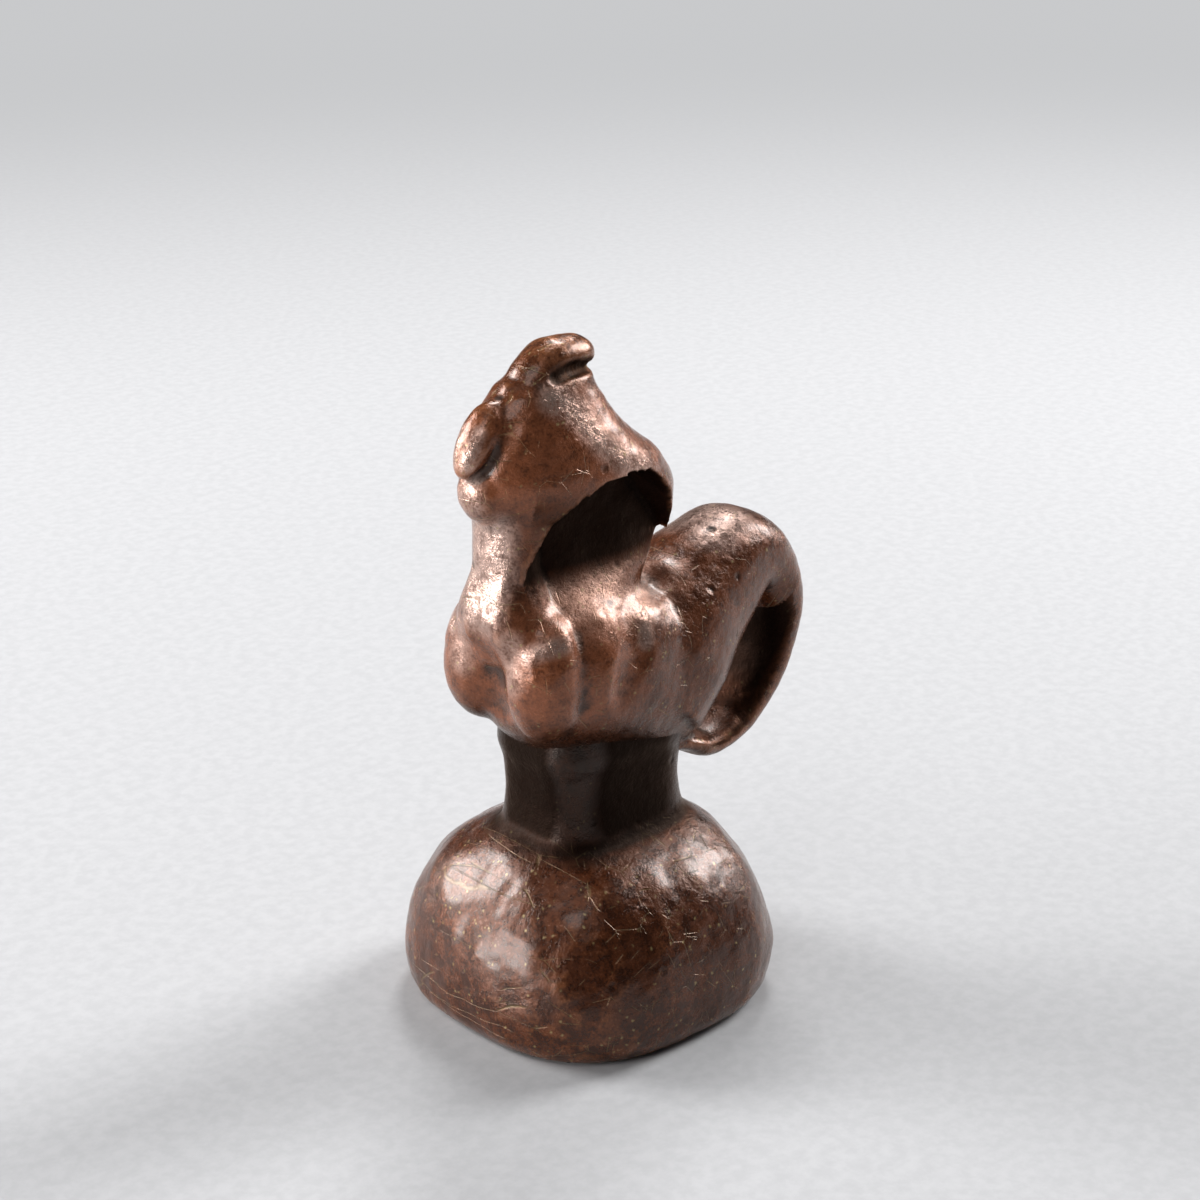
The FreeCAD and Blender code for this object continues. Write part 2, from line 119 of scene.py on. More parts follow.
def ripple(points: np.ndarray, wavelength: float, seed: int, waves: int = 14) -> np.ndarray:
    """Smooth hand-made unevenness: the mean of plane waves that run in many directions.

    Args:
        points: Points, one per row.
        wavelength: Typical length of a swell in the points' unit.
        seed: Fixed seed of the directions.
        waves: Number of plane waves.

    Returns:
        A value near -1 to 1 for each point.
    """
    draw = np.random.default_rng(seed)
    heading = draw.normal(size=(3, waves))
    heading /= np.linalg.norm(heading, axis=0)
    pitch = 2.0 * np.pi / (wavelength * draw.uniform(0.7, 1.5, waves))
    phase = draw.uniform(0.0, 2.0 * np.pi, waves)
    return np.sin(points @ heading * pitch + phase).sum(axis=1) / math.sqrt(waves)


def falloff(distance: np.ndarray, radius: float) -> np.ndarray:
    """Bell that is 1 at no distance and 0 beyond the radius: (1 - (d/r)^2)^2."""
    return np.clip(1.0 - (distance / radius) ** 2, 0.0, 1.0) ** 2


def ramp(values: np.ndarray, start: np.ndarray | float, full: np.ndarray | float) -> np.ndarray:
    """Share that is 0 up to start and 1 from full on, where full may also lie below start."""
    return np.clip((values - start) / (full - start), 0.0, 1.0)


def distance_to_path(points: np.ndarray, path: np.ndarray) -> np.ndarray:
    """Distance from each point to a line through a few others: the least over its straight runs.

    Args:
        points: Points, one per row.
        path: Corners of the line, one per row.

    Returns:
        One distance per point.
    """
    start, run = path[:-1], np.diff(path, axis=0)
    offset = points[:, None, :] - start[None, :, :]
    share = np.clip((offset * run).sum(axis=2) / (run * run).sum(axis=1), 0.0, 1.0)
    return np.linalg.norm(offset - share[:, :, None] * run[None, :, :], axis=2).min(axis=1)


def mirrored(path: np.ndarray) -> np.ndarray:
    """The same line on the bird's other side."""
    return path * np.array([1.0, -1.0, 1.0])


# Surfaces


@dataclass
class Surface:
    """Closed surface in the drawing's millimetres.

    Attributes:
        points: Corners, one per row.
        faces: Quads and triangles as rows of four indices, with -1 in the last place of a triangle.
    """

    points: np.ndarray
    faces: np.ndarray

    def to_mesh(self, name: str) -> bpy.types.Mesh:
        """Put the surface into a mesh, brought to metres.

        Args:
            name: Name of the mesh.

        Returns:
            The new mesh.
        """
        mesh = bpy.data.meshes.new(name)
        sizes = np.where(self.faces[:, 3] < 0, 3, 4)
        loops = self.faces[self.faces >= 0]
        mesh.vertices.add(len(self.points))
        mesh.vertices.foreach_set("co", (self.points * CASTING_SCALE).astype(np.float32).ravel())
        mesh.loops.add(len(loops))
        mesh.loops.foreach_set("vertex_index", loops.astype(np.int32))
        mesh.polygons.add(len(sizes))
        starts = np.concatenate([[0], np.cumsum(sizes)[:-1]])
        mesh.polygons.foreach_set("loop_start", starts.astype(np.int32))
        mesh.polygons.foreach_set("use_smooth", np.ones(len(sizes), dtype=bool))
        mesh.update(calc_edges=True)
        mesh.validate()
        return mesh


def grid_surface(grid: np.ndarray) -> Surface:
    """Close a grid of rings into a surface: quads between rings, and triangles to a pole at each end.

    Args:
        grid: Points of shape rings by columns by 3.

    Returns:
        The closed surface, with its faces outwards.
    """
    rows, columns = grid.shape[:2]
    index = np.arange(rows * columns).reshape(rows, columns)
    ahead = np.roll(index, -1, axis=1)
    quads = np.stack([index[:-1], ahead[:-1], ahead[1:], index[1:]], axis=-1).reshape(-1, 4)
    none = np.full(columns, -1)
    first, last = np.full(columns, rows * columns), np.full(columns, rows * columns + 1)
    caps = [np.stack([ahead[0], index[0], first, none], axis=1),
            np.stack([index[-1], ahead[-1], last, none], axis=1)]
    points = np.concatenate([grid.reshape(-1, 3), grid[0].mean(axis=0)[None], grid[-1].mean(axis=0)[None]])
    faces = np.concatenate([quads, *caps])
    a, b, c = (points[quads[:, k]] for k in (0, 1, 2))
    d = points[quads[:, 3]]
    volume = (a * np.cross(b, c)).sum() + (a * np.cross(c, d)).sum()
    if volume < 0:
        turned = faces[:, [1, 0, 2, 3]].copy()
        four = faces[:, 3] >= 0
        turned[four] = faces[four][:, ::-1]
        faces = turned
    return Surface(points, faces)


def swept_surface(rows: np.ndarray, spacing: float = 0.35, columns: int = 96) -> Surface:
    """Sections carried along a path in the plane of symmetry.

    Point(s, t) = centre(s) + across(s) * a(s) * c(t) + Y * b(s) * s(t), with (c, s) the superellipse of n(s).

    Args:
        rows: Table of x, z, across x, across z, half size across, half width along Y, power n.
        spacing: Distance between rings.
        columns: Points round a ring.

    Returns:
        The closed surface.
    """
    table = np.asarray(rows, dtype=float)
    travel = np.concatenate([[0.0], np.cumsum(np.hypot(*np.diff(table[:, :2], axis=0).T) + 0.25)])
    wanted = np.linspace(0.0, travel[-1], max(8, int(travel[-1] / spacing)))
    read = monotone(travel, table, wanted)
    across = read[:, 2:4] / np.linalg.norm(read[:, 2:4], axis=1, keepdims=True)
    cosine, sine = superellipse(np.maximum(read[:, 6], 1.6), columns)
    reach = read[:, 4:5] * cosine
    grid = np.stack([read[:, 0:1] + across[:, 0:1] * reach, read[:, 5:6] * sine,
                     read[:, 1:2] + across[:, 1:2] * reach], axis=-1)
    return grid_surface(grid)


def egg_surface(centre: tuple[float, float, float], radii: tuple[float, float, float], tilt: float = 0.0,
                columns: int = 64) -> Surface:
    """Ellipsoid: centre + R (rx cos u, ry sin u cos v, rz sin u sin v), with R a tilt about Y.

    Args:
        centre: Middle of the lobe.
        radii: Half sizes along its own X, Y and Z.
        tilt: Degrees that its +X end rises.
        columns: Points round it.

    Returns:
        The closed surface.
    """
    u = np.linspace(0.0, np.pi, columns // 2 + 1)[1:-1, None]
    v = np.linspace(0.0, 2.0 * np.pi, columns, endpoint=False)[None, :]
    grid = np.stack([radii[0] * np.cos(u) * np.ones_like(v), radii[1] * np.sin(u) * np.cos(v),
                     radii[2] * np.sin(u) * np.sin(v)], axis=-1)
    t = math.radians(tilt)
    lift = np.array([[math.cos(t), 0, -math.sin(t)], [0, 1, 0], [math.sin(t), 0, math.cos(t)]])
    return grid_surface(grid @ lift.T + np.array(centre))


def joined(surfaces: list[Surface]) -> Surface:
    """Put several surfaces side by side in one, before they are fused.

    Args:
        surfaces: Closed surfaces, which may overlap.

    Returns:
        One surface with all their points and faces.
    """
    shift = np.cumsum([0] + [len(s.points) for s in surfaces[:-1]])
    faces = [np.where(s.faces < 0, -1, s.faces + k) for s, k in zip(surfaces, shift)]
    return Surface(np.concatenate([s.points for s in surfaces]), np.concatenate(faces))


# Modelling in wax: marks worked into a fused skin


@dataclass(frozen=True)
class WaxMark:
    """Groove or ridge along a line: points within the width move along their normal by depth times a bell.

    Attributes:
        path: Corners of the line, in the drawing's millimetres.
        width: Reach to each side of the line.
        depth: Height of the ridge, negative for a groove.
        both_sides: Whether the other side of the bird has it too.
    """

    path: tuple[tuple[float, float, float], ...]
    width: float
    depth: float
    both_sides: bool = True

    def push(self, points: np.ndarray) -> np.ndarray:
        """Movement along the normal that the mark gives each point.

        Args:
            points: Points, one per row.

        Returns:
            One height per point: depth times the bell of the distance to the line.
        """
        line = np.array(self.path)
        if len(line) == 1:
            line = np.concatenate([line, line + 1e-3])
        amount = falloff(distance_to_path(points, line), self.width)
        if self.both_sides:
            amount = np.maximum(amount, falloff(distance_to_path(points, mirrored(line)), self.width))
        return self.depth * amount


@dataclass(frozen=True)
class Zone:
    """Round region of the bird seen from the side, with a bell about its middle.

    Attributes:
        middle: Its x and z.
        reach: Its radius.
        strength: Weight at the middle.
    """

    middle: tuple[float, float]
    reach: float
    strength: float = 1.0

    def weight(self, points: np.ndarray) -> np.ndarray:
        """Strength times the bell of each point's distance in x and z."""
        x, z = self.middle
        return self.strength * falloff(np.hypot(points[:, 0] - x, points[:, 2] - z), self.reach)


@dataclass(frozen=True)
class Patch:
    """Part of the bird seen from the side: a bell along X times a bell along Z.

    Attributes:
        middle: Its x and z.
        reach: Half its length and half its height.
    """

    middle: tuple[float, float]
    reach: tuple[float, float]

    def weight(self, points: np.ndarray) -> np.ndarray:
        """Bell of each point's distance along X times the bell of that along Z."""
        (x, z), (long, tall) = self.middle, self.reach
        return falloff(points[:, 0] - x, long) * falloff(points[:, 2] - z, tall)


@dataclass
class WaxSkin:
    """One continuous skin fused from overlapping surfaces, then rubbed smooth and marked.

    Attributes:
        name: Name of the piece.
        points: Points of the skin, in the drawing's millimetres.
        normals: Their normals.
        mesh: Mesh that holds the skin.
        edges: Pairs of neighbouring points.
    """

    name: str
    points: np.ndarray = field(init=False)
    normals: np.ndarray = field(init=False)
    mesh: bpy.types.Mesh = field(init=False)
    edges: np.ndarray = field(init=False)

    def fuse(self, surfaces: list[Surface], voxel: float) -> None:
        """Fuse surfaces into one closed skin of even quads.

        Args:
            surfaces: Overlapping closed surfaces.
            voxel: Edge length of the skin's quads.
        """
        rough_name = self.name + "_rough"
        rough = bpy.data.objects.new(rough_name, joined(surfaces).to_mesh(rough_name))
        link(rough)
        remesh = rough.modifiers.new("fuse", "REMESH")
        remesh.mode = "VOXEL"
        remesh.voxel_size = voxel * CASTING_SCALE
        remesh.use_smooth_shade = True
        graph = bpy.context.evaluated_depsgraph_get()
        self.mesh = bpy.data.meshes.new_from_object(rough.evaluated_get(graph))
        self.mesh.name = self.name
        bpy.data.objects.remove(rough)
        self.read()

    def read(self) -> None:
        """Read the mesh's points, edges and normals as arrays."""
        count = len(self.mesh.vertices)
        flat = np.empty(count * 3, dtype=np.float32)
        self.mesh.vertices.foreach_get("co", flat)
        self.points = flat.reshape(-1, 3).astype(float) / CASTING_SCALE
        pairs = np.empty(len(self.mesh.edges) * 2, dtype=np.int32)
        self.mesh.edges.foreach_get("vertices", pairs)
        self.edges = pairs.reshape(-1, 2)
        self.find_normals()

    def write(self) -> None:
        """Put the points back into the mesh."""
        self.mesh.vertices.foreach_set("co", (self.points * CASTING_SCALE).astype(np.float32).ravel())
        self.mesh.update()

    def find_normals(self) -> None:
        """Read each point's normal."""
        self.write()
        flat = np.empty(len(self.mesh.vertices) * 3, dtype=np.float32)
        self.mesh.vertices.foreach_get("normal", flat)
        self.normals = flat.reshape(-1, 3).astype(float)

    def neighbour_mean(self, values: np.ndarray) -> np.ndarray:
        """Mean of the values at each point's neighbours.

        Args:
            values: One number or one row per point.

        Returns:
            The means, in the shape of the values.
        """
        a, b = self.edges.T
        count = np.bincount(a, minlength=len(values)) + np.bincount(b, minlength=len(values))
        columns = values.reshape(len(values), -1)
        total = [np.bincount(a, columns[b, k], len(values)) + np.bincount(b, columns[a, k], len(values))
                 for k in range(columns.shape[1])]
        return (np.stack(total, axis=1) / np.maximum(count, 1)[:, None]).reshape(values.shape)

    def rub(self, rounds: int) -> None:
        """Smooth without shrinking: each round moves points to their neighbours' mean and partly back.

        Args:
            rounds: Number of rounds.
        """
        for _ in range(rounds):
            for step in RUB_STEPS:
                pull = self.neighbour_mean(self.points) - self.points
                self.points = self.points + step * pull

    def melt(self, rounds: int, weight: np.ndarray) -> None:
        """Fillet where the weight is high: points move to their neighbours' mean and stay there.

        Args:
            rounds: Number of rounds.
            weight: Share of the movement that each point takes.
        """
        for _ in range(rounds):
            pull = self.neighbour_mean(self.points) - self.points
            self.points = self.points + MELT_STEP * weight[:, None] * pull

    def mark(self, marks: tuple[WaxMark, ...]) -> None:
        """Work the marks into the skin: every point moves along its normal by the sum of their pushes.

        Args:
            marks: Grooves and ridges.
        """
        self.find_normals()
        push = np.zeros(len(self.points))
        for item in marks:
            push += item.push(self.points)
        self.points = self.points + self.normals * push[:, None]

    def uneven(self, swells: tuple[Row, ...], share: np.ndarray | float = 1.0) -> None:
        """Leave the skin as uneven as hand-worked wax: swells of several sizes along the normal.

        Args:
            swells: Height, wavelength and seed of each size.
            share: Part of the movement that each point takes.
        """
        self.find_normals()
        rise = sum(height * ripple(self.points, length, int(seed)) for height, length, seed in swells)
        self.points = self.points + self.normals * (share * rise)[:, None]

    def note_relief(self) -> None:
        """Store where the skin is proud, from -1 in a crease to 1 on an edge, as the attribute relief.

        Relief is half the height over the nearest neighbours and half the height over a wide average, each
        as a share of the height that counts as a full edge.
        """
        edge_near, edge_wide, rounds_near, rounds_wide = 0.012, 0.12, 3, 14
        self.find_normals()
        near = ((self.points - self.neighbour_mean(self.points)) * self.normals).sum(axis=1)
        for _ in range(rounds_near):
            near = 0.5 * near + 0.5 * self.neighbour_mean(near)
        level = self.points
        for _ in range(rounds_wide):
            level = self.neighbour_mean(level)
        wide = ((self.points - level) * self.normals).sum(axis=1)
        relief = 0.5 * np.clip(near / edge_near, -1.0, 1.0) + 0.5 * np.clip(wide / edge_wide, -1.0, 1.0)
        self.note("relief", relief)

    def note(self, name: str, values: np.ndarray) -> None:
        """Store one number per point as a named attribute."""
        layer = self.mesh.attributes.new(name, "FLOAT", "POINT")
        layer.data.foreach_set("value", values.astype(np.float32))

    def piece(self) -> bpy.types.Object:
        """Make the finished skin an object of the scene.

        Returns:
            The object.
        """
        self.write()
        self.mesh.polygons.foreach_set("use_smooth", np.ones(len(self.mesh.polygons), dtype=bool))
        obj = bpy.data.objects.new(self.name, self.mesh)
        link(obj)
        return obj


# Finishes


Socket = bpy.types.NodeSocket


@dataclass
class Graph:
    """Shorthand for laying out the nodes of one tree.

    Attributes:
        tree: Tree that receives the nodes.
    """

    tree: bpy.types.NodeTree

    def add(self, kind: str, inputs: dict[str | int, object] | None = None,
            **options: object) -> bpy.types.Node:
        """Add a node.

        Args:
            kind: Blender's name of the node.
            inputs: Socket name or number to a socket to link or a value to set.
            options: Properties of the node.

        Returns:
            The new node.
        """
        node = self.tree.nodes.new(kind)
        for key, value in options.items():
            setattr(node, key, value)
        for key, value in (inputs or {}).items():
            if isinstance(value, bpy.types.NodeSocket):
                self.tree.links.new(value, node.inputs[key])
            else:
                node.inputs[key].default_value = value
        return node

    def math(self, operation: str, first: object, second: object = 0.0, clamp: bool = False) -> Socket:
        """Output of a Math node for one operation on two values."""
        node = self.add("ShaderNodeMath", {0: first, 1: second}, operation=operation, use_clamp=clamp)
        return node.outputs[0]

    def times(self, first: object, second: object) -> Socket:
        """Product of two values."""
        return self.math("MULTIPLY", first, second)

    def weighted(self, *terms: tuple[Socket, float]) -> Socket:
        """Sum of values, each times its own factor.

        Args:
            terms: Pairs of a value and its factor.

        Returns:
            The sum.
        """
        first, *others = [self.times(value, factor) for value, factor in terms]
        for part in others:
            first = self.math("ADD", first, part)
        return first

    def group(self, tree: bpy.types.NodeTree, vector: Socket, **values: float) -> Socket:
        """Mask of a shared group placed with its own values."""
        return self.add("ShaderNodeGroup", {"Vector": vector, **values}, node_tree=tree).outputs["Mask"]

    def noise(self, vector: Socket, scale: object, detail: float = 3.0, roughness: float = 0.55) -> Socket:
        """Value of a noise pattern.

        Args:
            vector: Place that it is read at.
            scale: Its scale, in cells per metre.
            detail: Number of finer layers.
            roughness: Weight of each finer layer.

        Returns:
            The value, about 0.5 on average.
        """
        inputs = {"Vector": vector, "Scale": scale, "Detail": detail, "Roughness": roughness}
        return self.add("ShaderNodeTexNoise", inputs).outputs[0]

    def window(self, value: Socket, low: object, high: object, bottom: float = 0.0,
               top: float = 1.0) -> Socket:
        """Map a value from low and high to bottom and top, smoothly and clamped.

        Args:
            value: Value to map.
            low: Value that gives bottom.
            high: Value that gives top.
            bottom: Result at low.
            top: Result at high.

        Returns:
            The mapped value.
        """
        inputs = {"Value": value, "From Min": low, "From Max": high, "To Min": bottom, "To Max": top}
        return self.add("ShaderNodeMapRange", inputs, interpolation_type="SMOOTHSTEP").outputs[0]

    def mix(self, factor: object, first: object, second: object) -> Socket:
        """Colour between two others.

        Args:
            factor: Share of the second.
            first: Colour or socket at 0.
            second: Colour or socket at 1.

        Returns:
            The mixed colour.
        """
        node = self.add("ShaderNodeMix", data_type="RGBA", blend_type="MIX")
        for key, value in ((0, factor), (6, first), (7, second)):
            if isinstance(value, bpy.types.NodeSocket):
                self.tree.links.new(value, node.inputs[key])
            else:
                node.inputs[key].default_value = value
        return node.outputs[2]


def start_material(name: str) -> tuple[bpy.types.Material, Graph, Socket]:
    """Start a material with an empty tree.

    Args:
        name: Name of the material.

    Returns:
        The material, its shorthand, and the place of each point on the object.
    """
    material = bpy.data.materials.new(name)
    material.use_nodes = True
    graph = Graph(material.node_tree)
    graph.tree.nodes.clear()
    return material, graph, graph.add("ShaderNodeTexCoord").outputs["Object"]


class SurfaceEffects:
    """Node groups that the finishes share, each built once and placed with its own values.

    Attributes:
        mottle: Cloudy patches.
        flecks: Scattered grains.
        scratches: Hair scratches.
        pits: Casting pits.
    """

    def __init__(self) -> None:
        """Build the groups."""
        self.mottle = self._mottle()
        self.flecks = self._flecks()
        self.scratches = self._scratches()
        self.pits = self._pits()

    @staticmethod
    def _new(name: str, inputs: dict[str, float]) -> tuple[Graph, Socket, dict[str, Socket]]:
        """Start a group that reads a place and some numbers.

        Args:
            name: Name of the group.
            inputs: Name to default of each number.

        Returns:
            Its shorthand, the place, and the numbers by name.
        """
        tree = bpy.data.node_groups.new(name, "ShaderNodeTree")
        tree.interface.new_socket("Vector", in_out="INPUT", socket_type="NodeSocketVector")
        for label, default in inputs.items():
            socket = tree.interface.new_socket(label, in_out="INPUT", socket_type="NodeSocketFloat")
            socket.default_value = default
        graph = Graph(tree)
        source = graph.add("NodeGroupInput")
        return graph, source.outputs["Vector"], {label: source.outputs[label] for label in inputs}

    @staticmethod
    def _finish(graph: Graph, mask: Socket) -> bpy.types.NodeTree:
        """Put a mask out of a group.

        Args:
            graph: Shorthand of the group.
            mask: What it puts out.

        Returns:
            The group.
        """
        graph.tree.interface.new_socket("Mask", in_out="OUTPUT", socket_type="NodeSocketFloat")
        graph.add("NodeGroupOutput", {"Mask": mask})
        return graph.tree

    def _mottle(self) -> bpy.types.NodeTree:
        """Cloudy patches: two noises of different size, added and stretched to 0 to 1.

        Returns:
            The group.
        """
        g, vector, own = self._new("patina_mottle", {"Scale": 200.0, "Contrast": 0.2})
        broad = g.noise(vector, own["Scale"], 4.0, 0.6)
        small = g.noise(vector, g.times(own["Scale"], 4.3), 5.0, 0.65)
        low, high = g.math("SUBTRACT", 0.5, own["Contrast"]), g.math("ADD", 0.5, own["Contrast"])
        return self._finish(g, g.window(g.weighted((broad, 0.62), (small, 0.38)), low, high))

    def _flecks(self) -> bpy.types.NodeTree:
        """Scattered grains: round cells kept where their own random value is under a share.

        Returns:
            The group.
        """
        g, vector, own = self._new("metal_flecks", {"Scale": 2500.0, "Share": 0.15, "Size": 0.4})
        warp = g.add("ShaderNodeTexNoise", {"Vector": vector, "Scale": own["Scale"]})
        shift = g.add("ShaderNodeVectorMath", {0: warp.outputs[1], "Scale": 0.0003}, operation="SCALE")
        place = g.add("ShaderNodeVectorMath", {0: vector, 1: shift.outputs[0]}, operation="ADD")
        cells = g.add("ShaderNodeTexVoronoi", {"Vector": place.outputs[0], "Scale": own["Scale"]})
        pick = g.add("ShaderNodeSeparateColor", {0: cells.outputs["Color"]})
        kept = g.math("LESS_THAN", pick.outputs[0], own["Share"])
        return self._finish(g, g.times(kept, g.window(cells.outputs["Distance"], own["Size"], 0.05)))

    def _scratches(self) -> bpy.types.NodeTree:
        """Hair scratches: edges of cells stretched into needles, in three directions, kept in patches.

        Returns:
            The group.
        """
        g, vector, own = self._new("hair_scratches", {"Scale": 300.0, "Thinness": 0.012, "Amount": 0.5})
        lines = None
        for number, turn in enumerate(((0.3, 0.9, 0.4), (1.3, 0.2, 2.1), (2.2, 1.5, 0.9))):
            laid = g.add("ShaderNodeMapping", {
                "Vector": vector, "Rotation": turn, "Location": (0.01 * number, 0.02, 0.005),
                "Scale": (1.0, 0.08, 1.0)}).outputs[0]
            cells = g.add("ShaderNodeTexVoronoi", {"Vector": laid, "Scale": own["Scale"]},
                          feature="DISTANCE_TO_EDGE")
            broken = g.window(g.noise(laid, g.times(own["Scale"], 1.7), 0.0), 0.58, 0.66)
            line = g.times(g.window(cells.outputs["Distance"], own["Thinness"], 0.0), broken)
            lines = line if lines is None else g.math("MAXIMUM", lines, line)
        return self._finish(g, g.times(lines, own["Amount"]))

    def _pits(self) -> bpy.types.NodeTree:
        """Casting pits: small round hollows, kept in a share of the cells.

        Returns:
            The group.
        """
        g, vector, own = self._new("casting_pits", {"Scale": 900.0, "Share": 0.12})
        cells = g.add("ShaderNodeTexVoronoi", {"Vector": vector, "Scale": own["Scale"]})
        pick = g.add("ShaderNodeSeparateColor", {0: cells.outputs["Color"]})
        kept = g.math("LESS_THAN", pick.outputs[1], own["Share"])
        return self._finish(g, g.times(kept, g.window(cells.outputs["Distance"], 0.32, 0.0)))


@dataclass(frozen=True)
class BronzeFinish:
    """Dark chocolate patina, handled to a gloss, with copper showing on what stands proud, and with painted
    shade, painted highlights and painted top light in its colour.

    Attributes:
        name: Name of the material.
        deep: Colour of the darkest patina in the creases, and of the painted shade in the hollows and under
            the bird.
        brown: Main colour.
        rust: Redder patches.
        copper: Rubbed metal on edges and knobs.
        gold: Colour of the bright grains.
        tan: Lighter brown where hands have worn the patina thin.
        dust_and_top_light_colour: Colour of the pale surface on the back, partly settled grit and partly
            painted top light.
        pale: Colour of the painted highlights, laid on as bare metal worn bright on the high spots.
        roughness: Roughness of the handled gloss.
    """

    name: str = "worn_bronze"
    deep: Colour = (0.006, 0.003, 0.002, 1.0)
    brown: Colour = (0.040, 0.010, 0.003, 1.0)
    rust: Colour = (0.115, 0.030, 0.008, 1.0)
    copper: Colour = (0.42, 0.16, 0.065, 1.0)
    gold: Colour = (0.42, 0.33, 0.15, 1.0)
    tan: Colour = (0.25, 0.078, 0.032, 1.0)
    dust_and_top_light_colour: Colour = (0.60, 0.33, 0.24, 1.0)
    pale: Colour = (0.66, 0.47, 0.40, 1.0)
    roughness: float = 0.21

    def build(self, effects: SurfaceEffects) -> bpy.types.Material:
        """Build the material.

        Args:
            effects: Shared node groups.

        Returns:
            The material.
        """
        material, g, place = start_material(self.name)

        relief, dust_and_top_light, rubbed, painted_hollow_shade, handled, painted_under_shade, painted_highlight = (
            g.add("ShaderNodeAttribute", attribute_name=name).outputs["Fac"] for name in WEAR_AND_PAINTED_LIGHT)
        patches = g.group(effects.mottle, place, Scale=130.0, Contrast=0.16)
        grain = g.group(effects.mottle, place, Scale=1100.0, Contrast=0.14)
        fine = g.noise(place, 5200.0, 3.0, 0.7)
        flecks = g.group(effects.flecks, place, Scale=2600.0, Share=0.10, Size=0.42)
        # share of the surface that carries no painted shade
        unshaded = g.math("SUBTRACT", 1.0, g.math("MAXIMUM", painted_hollow_shade, painted_under_shade), clamp=True)
        scratches = g.group(effects.scratches, place, Scale=420.0, Thinness=0.014, Amount=1.0)
        scratches = g.times(unshaded, scratches)
        pits = g.group(effects.pits, place, Scale=700.0, Share=0.06)

        speckle = g.weighted((grain, 0.45), (fine, 1.1))
        worn = g.times(handled, g.window(speckle, 0.25, 0.95, 0.15, 1.0))
        sunk = g.window(relief, -0.05, -0.65)
        proud = g.window(g.weighted((relief, 1.0), (grain, 0.3)), 0.43, 1.0)
        proud = g.math("MAXIMUM", g.times(proud, 0.25), g.times(rubbed, grain))
        # painted highlights: pale bare metal laid on the high spots
        bare = g.times(painted_highlight, g.window(speckle, 0.42, 0.98, 0.15, 1.0))
        # settled grit and painted top light: paler on the back, the more it faces up
        dust_and_top_light_share = g.times(dust_and_top_light, g.window(fine, 0.34, 0.56, 0.25, 1.0))
        # painted shade under the bird: deep colour on the pillar and on the faces low on the bird that look
        # down
        under_shade_share = g.times(painted_under_shade, g.window(patches, 0.0, 1.0, 0.95, 0.7))
        base = self.brown
        for share, colour in (
                (g.window(grain, 0.1, 0.9), self.rust), (g.times(patches, 0.65), self.brown),
                (worn, self.tan), (g.times(sunk, 0.85), self.deep), (proud, self.copper), (bare, self.pale),
                (g.times(dust_and_top_light_share, 0.95), self.dust_and_top_light_colour), (g.times(flecks, 0.55), self.gold),
                # this row ends with painted shade in deep colour, under the bird and in the hollows
                (g.times(pits, 0.8), self.deep), (under_shade_share, self.deep), (g.times(painted_hollow_shade, 0.96), self.deep),
                (g.times(scratches, 0.2), self.gold)):
            base = g.mix(share, base, colour)

        grain_swing = 0.16
        dulling = g.weighted((grain, grain_swing), (dust_and_top_light, 0.22), (painted_hollow_shade, 0.3), (sunk, 0.12))
        rough = g.math("ADD", dulling, self.roughness - grain_swing / 2.0, clamp=True)
        coat = g.window(g.math("MAXIMUM", painted_hollow_shade, painted_under_shade), 0.0, 0.6, 0.3, 0.0)
        metal = g.window(g.math("MAXIMUM", painted_hollow_shade, bare), 0.0, 1.0, 0.25, 0.95)
        height = g.weighted(
            (fine, 0.55), (g.noise(place, 11000.0, 2.0, 0.6), 0.4), (g.noise(place, 1500.0, 3.0, 0.6), 1.3),
            (g.noise(place, 480.0, 2.0, 0.5), 1.7), (pits, -2.2), (scratches, -0.5))
        bump = g.add("ShaderNodeBump", {"Strength": 0.75, "Distance": 0.00007, "Height": height})
        shader = g.add("ShaderNodeBsdfPrincipled", {
            "Base Color": base, "Metallic": metal, "Roughness": rough, "IOR": 1.48, "Coat Weight": coat,
            "Specular Tint": (1.0, 0.84, 0.75, 1.0), "Coat Roughness": 0.2, "Normal": bump.outputs[0]})
        g.add("ShaderNodeOutputMaterial", {"Surface": shader.outputs[0]})
        return material


@dataclass(frozen=True)
class LeadFinish:
    """Dull grey lead, hammered flush with the underside.

    Attributes:
        name: Name of the material.
        pale: Colour of the oxide bloom.
        dark: Colour of the bare lead in the hammer marks.
    """

    name: str = "hammered_lead"
    pale: Colour = (0.25, 0.25, 0.26, 1.0)
    dark: Colour = (0.09, 0.09, 0.10, 1.0)

    def build(self, effects: SurfaceEffects) -> bpy.types.Material:
        """Build the material.

        Args:
            effects: Shared node groups.

        Returns:
            The material.
        """
        material, g, place = start_material(self.name)
        bloom = g.group(effects.mottle, place, Scale=600.0, Contrast=0.2)
        scratches = g.group(effects.scratches, place, Scale=400.0, Thinness=0.02, Amount=1.0)
        colour = g.mix(bloom, self.dark, self.pale)
        dents = g.add("ShaderNodeTexVoronoi", {"Vector": place, "Scale": 900.0}, feature="SMOOTH_F1")
        height = g.weighted((dents.outputs["Distance"], 1.0), (scratches, -0.3))
        bump = g.add("ShaderNodeBump", {"Strength": 0.5, "Distance": 0.0001, "Height": height})
        rough = g.window(bloom, 0.0, 1.0, 0.42, 0.68)
        shader = g.add("ShaderNodeBsdfPrincipled", {
            "Base Color": colour, "Metallic": 0.8, "Roughness": rough, "Normal": bump.outputs[0]})
        g.add("ShaderNodeOutputMaterial", {"Surface": shader.outputs[0]})
        return material


# Sub-assemblies


